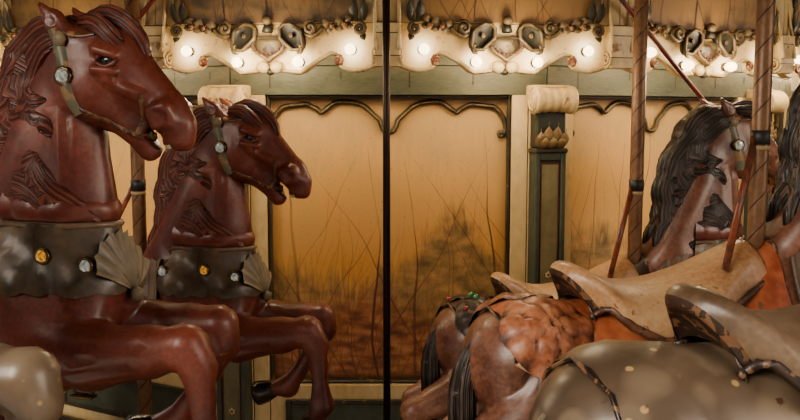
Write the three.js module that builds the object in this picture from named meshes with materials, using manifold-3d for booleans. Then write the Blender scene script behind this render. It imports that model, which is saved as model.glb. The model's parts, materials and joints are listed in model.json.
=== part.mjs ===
// A three-row fairground carousel: a fixed twelve-sided centre drum, and round it a turntable of platform,
// hangers, sweeps, inner cornice, rounding boards and canvas tilt, with thirty jumping horses on poles.
// Millimetres, +Z up. The origin is the centre of the plinth's foot, on the ground.
// An azimuth is measured from -Y towards +X, in degrees, and the horses run that way.
import * as THREE from "three";
import { mergeVertices } from "three/addons/utils/BufferGeometryUtils.js";
import Module from "manifold-3d";

const wasm = await Module();
wasm.setup();

// Driving dimensions
const SEAT_GAP = 0.3; // what touching pieces leave between them
const FLATNESS = 0.05; // faces that bend less than this are merged
const RANKS = 10; // ranks of horses, three abreast
const RANK_STEP = 360 / RANKS;
const FIRST_RANK = RANK_STEP / 2; // azimuth of the first rank at rest
const FIRST_HANGER = 0; // azimuth of the first hanger and sweep at rest

const DECK = { top: 320, thick: 60, inner: 2530, outer: 4720 };
const DECK_SIDES = 4 * RANKS;
const JOIST = { depth: 90, width: 80, inset: 6, inner: 2540, outer: 4700 }; // inset: of the beams, above and below
const RIM = { thick: 30, low: 130, rise: 8 };

const DRUM_SIDES = 12;
const DRUM_HALF_STEP = 180 / DRUM_SIDES;
const FACE_WIDTH = 1250; // one face of the drum
const DRUM_APOTHEM = FACE_WIDTH / 2 / Math.tan(Math.PI / DRUM_SIDES);
const DRUM_TOP = 2860;
const WALL_THICK = 60;
const PANEL = { width: 972, low: 817, high: 1992, thick: 20, lap: 40 }; // lap: how far it runs past its opening
const LID_THICK = 30;
const PLINTH_INSET = 40;
const PILASTER = { width: 130, depth: 50 };
const CAPITAL = { width: 170, radius: 60, centre: 58, top: 2030, sides: 8 };
const SKIRTING = { depth: 26, top: 520 };
const CORNER_BITE = 60; // how far a corner piece runs back before it is cut by the wall

const MAST = { radius: 120, top: 4640, sides: 12 };
const MAST_FOOT = { radius: 260, high: 380, taperHigh: 480 };
const COLLAR = { radius: 230, low: 3100, bevel: 30, high: 3200 };

const SWEEP = { low: 3300, high: 3440, width: 70 };
const HUB = { radius: 420, bite: 50 }; // bite: how far the sweeps run into it
const RING_BEAM = { width: 70, high: SWEEP.low - SEAT_GAP, low: 3200 };
const INNER_RING = 2900; // radius of the inner hangers and of the corners of the ring beam over them
const OUTER_RING = 4620;
const GUIDE = { width: 45, inset: 8 }; // inset: less than the ring beams are high, above and below
const HANGER = { radius: 15, flange: 100, flangeThick: 12, sides: 6 };
const BRACE = { radius: 9, head: 12, foot: 1106, sides: 4 }; // head below the ring beam, foot above the deck
const TIE = { width: 50, thick: 14 };

const CORNICE_SIDES = 2 * RANKS;
const SCALLOP = { apothem: 2677, thick: 30, top: 2235 };
// Its lower edge from the middle of a board to its end: place as a share of half the board, height.
const SCALLOP_EDGE = [[0, 2053], [0.1, 2062], [0.34, 2058], [0.58, 2112], [0.68, 2066], [0.8, 2066]];
const CONSOLE = { width: 100, reach: 45, low: 2078 };
const CONSOLE_SLOPE = 0.01; // of half a board, over which the console's flank rises
const FASCIA = { apothem: 2690, thick: 34, low: SCALLOP.top + SEAT_GAP, top: 2960 };
const CREST_RISE = 110; // of the boards' top edge, from the joints to the middles
const STRAP = { width: 60, thick: 12, lap: 60 };

const ROUNDING_SIDES = 2 * RANKS;
const ROUNDING = { corner: 4790, thick: 36, low: 2790, dip: 110, top: 3530 };
const TILT = { eaves: 4870, low: 3556, thick: 8, crown: 260, high: 4760 };
const RAFTER = { width: 60, depth: 80, inner: 235, outer: 4640 };
const WALL_PLATE = { inner: 4560, outer: 4640 };
const CROWN = { outer: 240, wall: 50 };
const FINIAL_SIDES = 12;
const FINIAL_TOP = 5500;
// The finial's side: radius, rise over its seat.
const FINIAL_SIDE = [[320, 0], [320, 50], [150, 130], [90, 230], [170, 340], [150, 430], [50, 500], [24, 710]];

const POLE = { radius: 25, foot: 160, top: 3420, sides: 6 };
const RANK_LINE = { inner: 2860, outer: 4287, trail: 150 }; // trail: how far the outer pole hangs back
const ROWS = [
  { name: "inner", share: 0, scale: 1.0, lift: 0 },
  { name: "middle", share: 0.5, scale: 1.12, lift: 30 },
  { name: "outer", share: 1, scale: 1.22, lift: 0 },
]; // share: place along the rank's line; lift: rise of the rest height above the deck

// Ways of making shapes
const radians = THREE.MathUtils.degToRad;
const cornerOf = (apothem, sides) => apothem / Math.cos(Math.PI / sides);
const apothemOf = (corner, sides) => corner * Math.cos(Math.PI / sides);
const azimuths = (count, first) => Array.from({ length: count }, (_, i) => first + (i * 360) / count);
const joined = (solids) => solids.reduce((whole, solid) => whole.add(solid));

const pointAt = (azimuth, radius, z) =>
  new THREE.Vector3(radius * Math.sin(radians(azimuth)), -radius * Math.cos(radians(azimuth)), z);

function solidOf(geometry) {
  const bare = geometry.index ? geometry.toNonIndexed() : geometry.clone();
  bare.deleteAttribute("normal");
  bare.deleteAttribute("uv");
  const merged = mergeVertices(bare, 1e-3);
  return new wasm.Manifold(
    new wasm.Mesh({
      numProp: 3,
      vertProperties: merged.attributes.position.array,
      triVerts: new Uint32Array(merged.index.array),
    }),
  );
}

function geometryOf(solid) {
  const mesh = solid.getMesh();
  const positions = new Float32Array(mesh.numVert * 3);
  for (let i = 0; i < mesh.numVert; i++) {
    const first = i * mesh.numProp;
    positions.set(mesh.vertProperties.subarray(first, first + 3), i * 3);
  }
  return new THREE.BufferGeometry()
    .setAttribute("position", new THREE.BufferAttribute(positions, 3))
    .setIndex(new THREE.BufferAttribute(mesh.triVerts, 1));
}

// A solid from points and triangles, turned to face out whichever way its loops run.
function surfaceSolid(points, index) {
  const surface = new THREE.BufferGeometry();
  surface.setAttribute("position", new THREE.Float32BufferAttribute(points.flatMap((p) => p.toArray()), 3));
  const solid = solidOf(surface.setIndex(index));
  return solid.volume() > 0 ? solid : solidOf(surface.setIndex(index.toReversed()));
}

// The triangles between two loops of as many points, whose first points are numbered a and b.
function band(a, b, sides) {
  return Array.from({ length: sides }, (_, j) => {
    const next = (j + 1) % sides;
    return [a + j, b + j, a + next, a + next, b + j, b + next];
  }).flat();
}

// A closed skin over loops of as many points each, with its two ends capped.
function capped(loops) {
  const sides = loops[0].length;
  const last = (loops.length - 1) * sides;
  const walls = loops.slice(1).flatMap((_, i) => band(i * sides, (i + 1) * sides, sides));
  const caps = Array.from({ length: sides - 2 }, (_, j) => [
    0, j + 1, j + 2, last, last + j + 2, last + j + 1,
  ]).flat();
  return surfaceSolid(loops.flat(), [...walls, ...caps]);
}

// The same, with the last loop joined to the first.
function endless(loops) {
  const sides = loops[0].length;
  const walls = loops.flatMap((_, i) => band(i * sides, ((i + 1) % loops.length) * sides, sides));
  return surfaceSolid(loops.flat(), walls);
}

// A solid of revolution about Z, or a prism of that many sides. profile is a list of [corner radius, height].
function turned(profile, sides, firstCorner) {
  const points = profile.map(([radius, z]) => new THREE.Vector2(radius, z));
  return solidOf(new THREE.LatheGeometry(points, sides, radians(firstCorner + 180)).rotateX(Math.PI / 2));
}

function ring(inner, outer, low, high, sides, firstCorner) {
  const section = [[inner, low], [outer, low], [outer, high], [inner, high], [inner, low]];
  return turned(section, sides, firstCorner);
}

// A box at an azimuth, with its width across along the tangent.
function boxAt(azimuth, inner, outer, across, low, high) {
  const box = new THREE.BoxGeometry(across, outer - inner, high - low);
  box.translate(0, -(inner + outer) / 2, (low + high) / 2);
  return solidOf(box.rotateZ(radians(azimuth)));
}

// A sloping beam along a radius, given by its section's height and top at either end.
function slopingBeam(azimuth, width, depth, inner, innerTop, outer, outerTop) {
  const section = (y, top) =>
    [[-1, 0], [1, 0], [1, -1], [-1, -1]].map(([side, down]) =>
      new THREE.Vector3((side * width) / 2, -y, top + down * depth)
        .applyAxisAngle(new THREE.Vector3(0, 0, 1), radians(azimuth)),
    );
  return capped([section(inner, innerTop), section(outer, outerTop)]);
}

function rod(from, to, radius, sides) {
  const along = new THREE.Vector3().subVectors(to, from);
  const shape = new THREE.CylinderGeometry(radius, radius, along.length(), sides);
  const turn = new THREE.Quaternion().setFromUnitVectors(new THREE.Vector3(0, 1, 0), along.normalize());
  const middle = new THREE.Vector3().addVectors(from, to).multiplyScalar(0.5);
  return solidOf(shape.applyQuaternion(turn).translate(middle.x, middle.y, middle.z));
}

// A lying roll at an azimuth, with its axis along the tangent.
function rollAt(azimuth, distance, z, radius, length, sides) {
  const roll = new THREE.CylinderGeometry(radius, radius, length, sides).rotateZ(Math.PI / 2);
  return solidOf(roll.translate(0, -distance, z).rotateZ(radians(azimuth)));
}

// A limb along a bent spine. A station is [x, z, half width, half depth, y], with the half depth square to
// the spine and the half width along Y.
function limb(stations, sides, turn) {
  const centres = stations.map(([x, z, , , y]) => new THREE.Vector3(x, y, z));
  const across = new THREE.Vector3(0, 1, 0);
  return capped(
    stations.map(([, , halfWidth, halfDepth], i) => {
      const before = centres[Math.max(i - 1, 0)];
      const after = centres[Math.min(i + 1, centres.length - 1)];
      const along = new THREE.Vector3().subVectors(after, before);
      const up = new THREE.Vector3().crossVectors(along, across).normalize();
      return Array.from({ length: sides }, (_, j) => {
        const angle = turn - (j * 2 * Math.PI) / sides;
        return centres[i]
          .clone()
          .addScaledVector(across, halfWidth * Math.cos(angle))
          .addScaledVector(up, halfDepth * Math.sin(angle));
      });
    }),
  );
}

// The horse at scale 1, in its own frame: the pole's axis is x = 0, z is above the deck, +X is forward.
// Its rump, saddle, mane, head, chest, belly and tail in side view. A point is [x, z] on the middle plane,
// then the [x, z] and half width of the place on its flank beside that point.
const SIDE_VIEW = [
  [-700, 968, -670, 895, 105],
  [-575, 1068, -555, 955, 120],
  [-400, 985, -400, 890, 150],
  [-130, 1000, -130, 895, 150],
  [-35, 1095, -10, 960, 125],
  [55, 1150, 115, 1040, 92],
  [62, 1290, 160, 1250, 66],
  [130, 1490, 205, 1430, 58],
  [295, 1652, 310, 1560, 42],
  [440, 1612, 430, 1530, 58],
  [535, 1560, 500, 1500, 50],
  [664, 1398, 636, 1400, 30],
  [628, 1310, 600, 1350, 28],
  [535, 1290, 520, 1350, 36],
  [400, 1376, 375, 1430, 60],
  [428, 1198, 345, 1190, 76],
  [490, 1020, 400, 985, 104],
  [450, 880, 370, 880, 126],
  [240, 700, 240, 800, 140],
  [-100, 690, -100, 790, 140],
  [-450, 690, -450, 790, 140],
  [-680, 660, -640, 760, 134],
  [-768, 800, -705, 830, 112],
  [-822, 800, -830, 815, 30],
  [-868, 525, -876, 545, 16],
  [-912, 820, -896, 810, 30],
  [-850, 902, -838, 880, 30],
  [-752, 925, -730, 880, 76],
];
const NEAR_FORELEG = [
  [280, 850, 66, 110, -86],
  [705, 890, 34, 48, -100],
  [740, 655, 26, 32, -100],
  [680, 560, 42, 46, -100],
];
const FAR_FORELEG = [
  [300, 875, 66, 105, 86],
  [660, 885, 34, 48, 100],
  [515, 625, 26, 32, 100],
  [415, 610, 42, 50, 100],
];
const NEAR_HINDLEG = [
  [-560, 800, 66, 160, -84],
  [-862, 640, 34, 46, -100],
  [-800, 420, 26, 32, -100],
  [-840, 330, 42, 46, -100],
];
const FAR_HINDLEG = [
  [-500, 800, 66, 160, 84],
  [-790, 615, 34, 46, 100],
  [-730, 400, 26, 32, 100],
  [-770, 318, 42, 46, 100],
];
const LEG_SIDES = 4;
const HORSE_TOLERANCE = 12; // what its outline may give up when flat parts are merged

// A body that bulges to both sides from its outline in side view.
function bulged(outline) {
  const flank = outline.map(([, , x, z]) => new THREE.Vector2(x, z));
  const cap = THREE.ShapeUtils.triangulateShape(flank, []).flat();
  const middle = outline.map(([x, z]) => new THREE.Vector3(x, 0, z));
  const [left, right] = [1, -1].map((side) => outline.map(([, , x, z, half]) => new THREE.Vector3(x, side * half, z)));
  const count = outline.length;
  const index = [
    ...cap,
    ...band(count, 0, count),
    ...band(2 * count, count, count),
    ...cap.toReversed().map((i) => i + 2 * count),
  ];
  return surfaceSolid([...left, ...middle, ...right], index);
}

function horseBody() {
  const legs = [NEAR_FORELEG, FAR_FORELEG, NEAR_HINDLEG, FAR_HINDLEG];
  const limbs = legs.map((leg) => limb(leg, LEG_SIDES, Math.PI / LEG_SIDES));
  return joined([bulged(SIDE_VIEW), ...limbs]);
}

// A pole with a flat turned to either side, so that it fits its guides.
function pole(radius, low, high) {
  const corner = cornerOf(radius, POLE.sides);
  return turned([[0, low], [corner, low], [corner, high], [0, high]], POLE.sides, 0);
}

// One row's horse on its pole, at rest, over x = 0, y = 0.
function horseOnPole(body, row) {
  const { scale, lift } = row;
  const horse = body.scale([scale, scale, scale]).translate([0, 0, DECK.top + lift]);
  return horse.simplify(HORSE_TOLERANCE).add(pole(POLE.radius, POLE.foot, POLE.top));
}

// Where a row's poles stand: their radius, and how many degrees they trail their rank.
function rowPlace(row) {
  const along = THREE.MathUtils.lerp(RANK_LINE.inner, RANK_LINE.outer, row.share);
  const back = RANK_LINE.trail * row.share;
  return { radius: Math.hypot(along, back), lag: THREE.MathUtils.radToDeg(Math.atan2(back, along)) };
}

// A solid made over x = 0, y = 0, set at each of a row's poles and turned with it.
function setAtPoles(row, solid) {
  const { radius, lag } = rowPlace(row);
  return azimuths(RANKS, FIRST_RANK - lag).map((azimuth) => {
    const place = pointAt(azimuth, radius, 0);
    return solid.rotate([0, 0, azimuth]).translate([place.x, place.y, 0]);
  });
}

// Fixed centre
function plinth() {
  const corner = cornerOf(DRUM_APOTHEM - PLINTH_INSET, DRUM_SIDES);
  const high = DECK.top - SEAT_GAP;
  return turned([[0, 0], [corner, 0], [corner, high], [0, high]], DRUM_SIDES, DRUM_HALF_STEP);
}

function drumWall() {
  const outer = cornerOf(DRUM_APOTHEM, DRUM_SIDES);
  const inner = cornerOf(DRUM_APOTHEM - WALL_THICK, DRUM_SIDES);
  const wall = ring(inner, outer, DECK.top, DRUM_TOP, DRUM_SIDES, DRUM_HALF_STEP);
  const near = DRUM_APOTHEM - 2 * WALL_THICK;
  const far = DRUM_APOTHEM + WALL_THICK;
  const openings = azimuths(DRUM_SIDES, 0).map((a) => boxAt(a, near, far, PANEL.width, PANEL.low, PANEL.high));
  return wall.subtract(joined(openings));
}

function paintedPanels() {
  const face = DRUM_APOTHEM - WALL_THICK - SEAT_GAP;
  const outer = cornerOf(face, DRUM_SIDES);
  const inner = cornerOf(face - PANEL.thick, DRUM_SIDES);
  return ring(inner, outer, PANEL.low - PANEL.lap, PANEL.high + PANEL.lap, DRUM_SIDES, DRUM_HALF_STEP);
}

// Corner pilasters with rolled capitals, joined by one skirting board.
function pilasters() {
  const face = DRUM_APOTHEM + SEAT_GAP;
  const corner = cornerOf(face, DRUM_SIDES);
  const skirt = cornerOf(face + SKIRTING.depth, DRUM_SIDES);
  const board = ring(corner, skirt, DECK.top, SKIRTING.top, DRUM_SIDES, DRUM_HALF_STEP);
  const back = corner - CORNER_BITE;
  const posts = azimuths(DRUM_SIDES, DRUM_HALF_STEP).flatMap((a) => [
    boxAt(a, back, corner + PILASTER.depth, PILASTER.width, DECK.top, CAPITAL.top - CAPITAL.radius),
    rollAt(a, corner + CAPITAL.centre, CAPITAL.top - CAPITAL.radius, CAPITAL.radius, CAPITAL.width, CAPITAL.sides),
  ]);
  const wall = turned([[0, 0], [corner, 0], [corner, DRUM_TOP], [0, DRUM_TOP]], DRUM_SIDES, DRUM_HALF_STEP);
  return board.add(joined(posts)).subtract(wall);
}

function drumLid() {
  const low = DRUM_TOP + SEAT_GAP;
  const outer = cornerOf(DRUM_APOTHEM, DRUM_SIDES);
  return ring(MAST.radius + SEAT_GAP, outer, low, low + LID_THICK, DRUM_SIDES, DRUM_HALF_STEP);
}

function mast() {
  const profile = [
    [0, DECK.top], [MAST_FOOT.radius, DECK.top], [MAST_FOOT.radius, MAST_FOOT.high],
    [MAST.radius, MAST_FOOT.taperHigh], [MAST.radius, COLLAR.low],
    [COLLAR.radius, COLLAR.low + COLLAR.bevel], [COLLAR.radius, COLLAR.high],
    [MAST.radius, COLLAR.high], [MAST.radius, MAST.top], [0, MAST.top],
  ];
  return turned(profile, MAST.sides, DRUM_HALF_STEP);
}

// Turntable
function platformDeck() {
  const low = DECK.top - DECK.thick;
  const boards = ring(DECK.inner, DECK.outer, low, DECK.top, DECK_SIDES, FIRST_HANGER);
  const hole = pole(POLE.radius + SEAT_GAP, low - DECK.thick, DECK.top + DECK.thick);
  return boards.subtract(joined(ROWS.flatMap((row) => setAtPoles(row, hole))));
}

function platformJoists() {
  const high = DECK.top - DECK.thick - SEAT_GAP;
  const low = high - JOIST.depth;
  const { inner, outer, width } = JOIST;
  const beams = azimuths(RANKS, FIRST_HANGER).map((a) =>
    boxAt(a, inner + width / 2, outer - width / 2, width, low + JOIST.inset, high - JOIST.inset),
  );
  const ends = [
    ring(inner, inner + width, low, high, 2 * RANKS, FIRST_HANGER),
    ring(outer - width, outer, low, high, 2 * RANKS, FIRST_HANGER),
  ];
  return joined([...ends, ...beams]);
}

function platformRim() {
  const inner = DECK.outer + SEAT_GAP;
  return ring(inner, inner + RIM.thick, RIM.low, DECK.top + RIM.rise, DECK_SIDES, FIRST_HANGER);
}

// Ten sweeps on a hub that turns on the mast's collar.
function sweepFrame() {
  const turn = Math.PI / ROUNDING_SIDES;
  const end = cornerOf(apothemOf(ROUNDING.corner, ROUNDING_SIDES) - ROUNDING.thick, ROUNDING_SIDES);
  const outer = end - (SWEEP.width / 2) * Math.tan(turn) - SEAT_GAP;
  const bore = cornerOf(MAST.radius + SEAT_GAP, 2 * RANKS);
  const hub = ring(bore, HUB.radius, COLLAR.high + SEAT_GAP, SWEEP.high, 2 * RANKS, FIRST_HANGER);
  const sweeps = azimuths(RANKS, FIRST_HANGER).map((a) =>
    boxAt(a, HUB.radius - HUB.bite, outer, SWEEP.width, SWEEP.low, SWEEP.high),
  );
  return joined([hub, ...sweeps]);
}

// Two ring beams under the sweeps, and between them a pair of rails on either side of each rank's poles.
// The inner beam is straight from hanger to hanger, so it passes inside the inner poles.
function poleGuides() {
  const { width, low, high } = RING_BEAM;
  const beams = [
    ring(INNER_RING - width / 2, INNER_RING + width / 2, low, high, RANKS, FIRST_HANGER),
    ring(OUTER_RING - width / 2, OUTER_RING + width / 2, low, high, 2 * RANKS, FIRST_HANGER),
  ];
  const rails = azimuths(RANKS, FIRST_RANK).map((a) => railPair(a));
  return joined([...beams, ...rails]);
}

// The rails of one rank follow the line of its three poles, which isn't quite a radius.
function railPair(azimuth) {
  const slant = Math.atan2(RANK_LINE.trail, RANK_LINE.outer - RANK_LINE.inner);
  const clear = cornerOf(POLE.radius, POLE.sides) * Math.cos(Math.PI / POLE.sides - slant) + SEAT_GAP;
  const height = RING_BEAM.high - RING_BEAM.low - 2 * GUIDE.inset;
  const innerEnd = apothemOf(INNER_RING, RANKS);
  const middle = (innerEnd + OUTER_RING) / 2;
  const back = THREE.MathUtils.mapLinear(middle, RANK_LINE.inner, RANK_LINE.outer, 0, RANK_LINE.trail);
  const rails = [-1, 1].map((side) => {
    const rail = new THREE.BoxGeometry(GUIDE.width, (OUTER_RING - innerEnd) / Math.cos(slant), height);
    rail.translate(side * (clear + GUIDE.width / 2), 0, 0);
    rail.rotateZ(-slant);
    rail.translate(-back, -middle, (RING_BEAM.high + RING_BEAM.low) / 2);
    return solidOf(rail.rotateZ(radians(azimuth)));
  });
  return joined(rails);
}

const HANGER_TOP = RING_BEAM.low - SEAT_GAP;

function hanger(azimuth, radius, high) {
  const foot = DECK.top + SEAT_GAP;
  const stem = rod(pointAt(azimuth, radius, foot), pointAt(azimuth, radius, high), HANGER.radius, HANGER.sides);
  const half = HANGER.flange / 2;
  return stem.add(boxAt(azimuth, radius - half, radius + half, HANGER.flange, foot, foot + HANGER.flangeThick));
}

// The inner hangers, with braces from the head of every other one to the middle of its neighbours.
function innerHangers() {
  const at = azimuths(RANKS, FIRST_HANGER);
  const head = HANGER_TOP - BRACE.head;
  const foot = DECK.top + BRACE.foot;
  const braces = at.map((a, i) => {
    const [start, end] = i % 2 ? [foot, head] : [head, foot];
    const next = a + RANK_STEP;
    return rod(pointAt(a, INNER_RING, start), pointAt(next, INNER_RING, end), BRACE.radius, BRACE.sides);
  });
  return joined([...at.map((a) => hanger(a, INNER_RING, HANGER_TOP)), ...braces]);
}

function outerHangers() {
  const inner = OUTER_RING - TIE.width / 2;
  const tie = ring(inner, inner + TIE.width, HANGER_TOP - TIE.thick, HANGER_TOP, 2 * RANKS, FIRST_HANGER);
  const high = HANGER_TOP - TIE.thick / 2;
  return joined([tie, ...azimuths(RANKS, FIRST_RANK).map((a) => hanger(a, OUTER_RING, high))]);
}

// A many-sided ring of upright boards. low(t) and high(t) are the heights of its edges, for t from -1 to 1
// across one board, whose first corner is at firstCorner.
function boardRing(apothem, thick, sides, firstCorner, steps, low, high) {
  const outer = cornerOf(apothem, sides);
  const inner = cornerOf(apothem - thick, sides);
  const sections = azimuths(sides, firstCorner).flatMap((a) =>
    Array.from({ length: steps }, (_, k) => {
      const t = (2 * k) / steps - 1;
      const at = (radius, z) =>
        pointAt(a, radius, z).lerp(pointAt(a + 360 / sides, radius, z), k / steps);
      return [at(inner, low(t)), at(outer, low(t)), at(outer, high(t)), at(inner, high(t))];
    }),
  );
  return endless(sections);
}

const arch = (t) => Math.cos((t * Math.PI) / 2);

// The lower board of the inner cornice, with a waved edge and a console over each joint.
function innerCornice() {
  const corner = cornerOf(SCALLOP.apothem, CORNICE_SIDES);
  const back = cornerOf(SCALLOP.apothem - SCALLOP.thick, CORNICE_SIDES);
  const start = 1 - CONSOLE.width / (2 * SCALLOP.apothem * Math.tan(Math.PI / CORNICE_SIDES));
  const waves = SCALLOP_EDGE.map(([t, low]) => ({ t, low, reach: 0 }));
  const side = [{ t: start - CONSOLE_SLOPE, low: CONSOLE.low, reach: 0 }, { t: start, ...CONSOLE }];
  const half = [...waves, ...side];
  const mirrored = half.slice(1).reverse().map((station) => ({ ...station, t: -station.t }));
  const sections = azimuths(CORNICE_SIDES, FIRST_HANGER).flatMap((a) =>
    [{ t: -1, ...CONSOLE }, ...mirrored, ...half].map(({ t, low, reach }) => {
      const next = a + 360 / CORNICE_SIDES;
      const at = (radius, z) => pointAt(a, radius, z).lerp(pointAt(next, radius, z), (t + 1) / 2);
      return [at(back, low), at(corner + reach, low), at(corner + reach, SCALLOP.top), at(back, SCALLOP.top)];
    }),
  );
  return endless(sections);
}

// The upright boards with painted fields, hung from the sweeps by straps.
function corniceBoards() {
  const low = () => FASCIA.low;
  const high = (t) => FASCIA.top + CREST_RISE * arch(t);
  const board = boardRing(FASCIA.apothem, FASCIA.thick, CORNICE_SIDES, FIRST_HANGER, 4, low, high);
  const step = 360 / CORNICE_SIDES;
  const straps = azimuths(RANKS, FIRST_HANGER).map((a) => {
    const fromMiddle = THREE.MathUtils.euclideanModulo(a - FIRST_HANGER, step) - step / 2;
    const middle = (FASCIA.apothem - FASCIA.thick / 2) / Math.cos(radians(fromMiddle));
    const half = STRAP.thick / 2;
    return boxAt(a, middle - half, middle + half, STRAP.width, FASCIA.top - STRAP.lap, SWEEP.low - SEAT_GAP);
  });
  return joined([board, ...straps]);
}

function roundingBoards() {
  const apothem = apothemOf(ROUNDING.corner, ROUNDING_SIDES);
  const low = (t) => ROUNDING.low - ROUNDING.dip * arch(t);
  const high = () => ROUNDING.top;
  return boardRing(apothem, ROUNDING.thick, ROUNDING_SIDES, FIRST_HANGER, 4, low, high);
}

// Height of the tilt's underside at a radius, along a rafter.
const tiltAt = (radius) =>
  THREE.MathUtils.mapLinear(radius, TILT.eaves, TILT.crown, TILT.low, TILT.high);

function rafters() {
  const foot = SWEEP.high + SEAT_GAP;
  const head = TILT.high + TILT.thick;
  const spine = ring(CROWN.outer - CROWN.wall, CROWN.outer, foot, head, 2 * RANKS, FIRST_HANGER);
  const fall = (TILT.high - TILT.low) / (TILT.eaves - TILT.crown);
  const edgeDrop = fall * (RAFTER.width / 2) * Math.tan(Math.PI / (2 * RANKS));
  const top = (radius) => tiltAt(radius) - edgeDrop - SEAT_GAP;
  const beams = azimuths(RANKS, FIRST_HANGER).map((a) =>
    slopingBeam(a, RAFTER.width, RAFTER.depth, RAFTER.inner, top(RAFTER.inner), RAFTER.outer, top(RAFTER.outer)),
  );
  const plateTop = top(WALL_PLATE.outer) - RAFTER.depth / 2;
  const plate = ring(WALL_PLATE.inner, WALL_PLATE.outer, foot, plateTop, 2 * RANKS, FIRST_HANGER);
  return joined([spine, plate, ...beams]);
}

function canvasTilt() {
  const section = [
    [TILT.crown, TILT.high], [TILT.eaves, TILT.low], [TILT.eaves, TILT.low + TILT.thick],
    [TILT.crown, TILT.high + TILT.thick], [TILT.crown, TILT.high],
  ];
  return turned(section, 2 * RANKS, FIRST_HANGER);
}

function finial() {
  const base = TILT.high + TILT.thick + SEAT_GAP;
  const side = FINIAL_SIDE.map(([radius, rise]) => [radius, base + rise]);
  return turned([[0, base], ...side, [0, FINIAL_TOP]], FINIAL_SIDES, FIRST_HANGER);
}

// Colours and finishes
const paint = (color, roughness = 0.5, metalness = 0) =>
  new THREE.MeshStandardMaterial({ color, roughness, metalness });
const CREAM_PAINT = paint("#d8c69c");
const GREEN_PAINT = paint("#2f3f35");
const SCENE_PAINT = paint("#b97e40", 0.6);
const CARVED_PAINT = paint("#8d7146");
const GREY_PAINT = paint("#5a5f58", 0.7);
const TIMBER = paint("#7a5b3d", 0.8);
const BOARDS = paint("#74563a", 0.7);
const DARK_STEEL = paint("#3a2a26", 0.45, 0.8);
const RED_STEEL = paint("#5b1d1b", 0.45, 0.3);
const CANVAS = paint("#cfc3a6", 0.9);
const GILT = paint("#b08a45", 0.35, 0.6);
const HORSE_FINISH = { inner: paint("#5f2d23", 0.3), middle: paint("#6e4632", 0.3), outer: paint("#b9b3a8", 0.4) };

const carousel = new THREE.Group();

function place(name, solid, material) {
  const mesh = new THREE.Mesh(geometryOf(solid.simplify(FLATNESS)), material);
  mesh.name = name;
  carousel.add(mesh);
  return mesh;
}

place("plinth", plinth(), GREY_PAINT);
place("drum_wall", drumWall(), CREAM_PAINT);
place("painted_panels", paintedPanels(), SCENE_PAINT);
place("pilasters", pilasters(), GREEN_PAINT);
place("drum_lid", drumLid(), TIMBER);
place("mast", mast(), DARK_STEEL);
place("platform_deck", platformDeck(), BOARDS);
place("platform_joists", platformJoists(), TIMBER);
place("platform_rim", platformRim(), GREEN_PAINT);
place("sweep_frame", sweepFrame(), TIMBER);
place("pole_guides", poleGuides(), TIMBER);
place("inner_hangers", innerHangers(), RED_STEEL);
place("outer_hangers", outerHangers(), RED_STEEL);
place("inner_cornice", innerCornice(), CREAM_PAINT);
place("cornice_boards", corniceBoards(), CARVED_PAINT);
place("rounding_boards", roundingBoards(), CARVED_PAINT);
place("rafters", rafters(), TIMBER);
place("canvas_tilt", canvasTilt(), CANVAS);
place("finial", finial(), GILT);

const body = horseBody();
for (const row of ROWS) {
  const horse = horseOnPole(body, row);
  const { radius, lag } = rowPlace(row);
  azimuths(RANKS, FIRST_RANK - lag).forEach((azimuth, i) => {
    const number = String(i + 1).padStart(2, "0");
    const mesh = place(`horse_${row.name}_${number}`, horse, HORSE_FINISH[row.name]);
    mesh.position.copy(pointAt(azimuth, radius, 0));
    mesh.rotation.z = radians(azimuth);
  });
}

export default carousel;
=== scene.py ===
"""Looks of a three-row fairground carousel: its horses, centre drum, cornice, platform and tilt.

Metres, +Z up. An azimuth is in degrees, from -Y towards +X. Fixed and hung pieces are made at azimuth 0,
facing -Y, and turned into place; a horse is made facing +X over its own pole and turned the same way.
"""
import json
import math

import bmesh
import bpy
import numpy as np
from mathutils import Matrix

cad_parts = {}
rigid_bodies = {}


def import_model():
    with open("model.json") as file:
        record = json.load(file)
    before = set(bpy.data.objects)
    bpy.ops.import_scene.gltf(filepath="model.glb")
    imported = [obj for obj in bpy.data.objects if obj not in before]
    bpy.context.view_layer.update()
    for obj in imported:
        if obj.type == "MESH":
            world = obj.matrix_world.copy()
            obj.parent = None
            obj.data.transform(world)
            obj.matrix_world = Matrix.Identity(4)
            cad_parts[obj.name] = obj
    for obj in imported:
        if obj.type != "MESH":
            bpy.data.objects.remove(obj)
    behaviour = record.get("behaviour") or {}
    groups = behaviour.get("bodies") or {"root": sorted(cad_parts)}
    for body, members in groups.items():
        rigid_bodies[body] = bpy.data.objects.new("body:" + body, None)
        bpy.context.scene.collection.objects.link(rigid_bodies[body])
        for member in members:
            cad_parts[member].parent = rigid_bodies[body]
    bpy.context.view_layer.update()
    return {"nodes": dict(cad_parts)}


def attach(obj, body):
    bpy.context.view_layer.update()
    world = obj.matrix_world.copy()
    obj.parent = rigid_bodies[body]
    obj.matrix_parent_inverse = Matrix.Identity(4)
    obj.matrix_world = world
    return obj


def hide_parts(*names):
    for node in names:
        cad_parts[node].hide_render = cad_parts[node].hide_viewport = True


BODY_STEP, HEAD_STEP, HAIR_STEP = 0.006, 0.0036, 0.004  # grids that the horse's forms are worked out on
BODY_FACES, HEAD_FACES, MANE_FACES, TAIL_FACES = 3800, 2700, 3700, 440  # triangles of each form
FAR = 9.0  # further than any point of a horse is from another


# Forms of round cones joined smoothly, turned into a surface
def part(a, b, ra, rb, squeeze=1.0, blend=0.03, cut=False):
    """A round cone between two points. squeeze narrows it across, blend rounds its join, cut removes it."""
    return dict(a=np.array(a, float), b=np.array(b, float), ra=ra, rb=rb, squeeze=squeeze, blend=blend,
                cut=cut)


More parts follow.
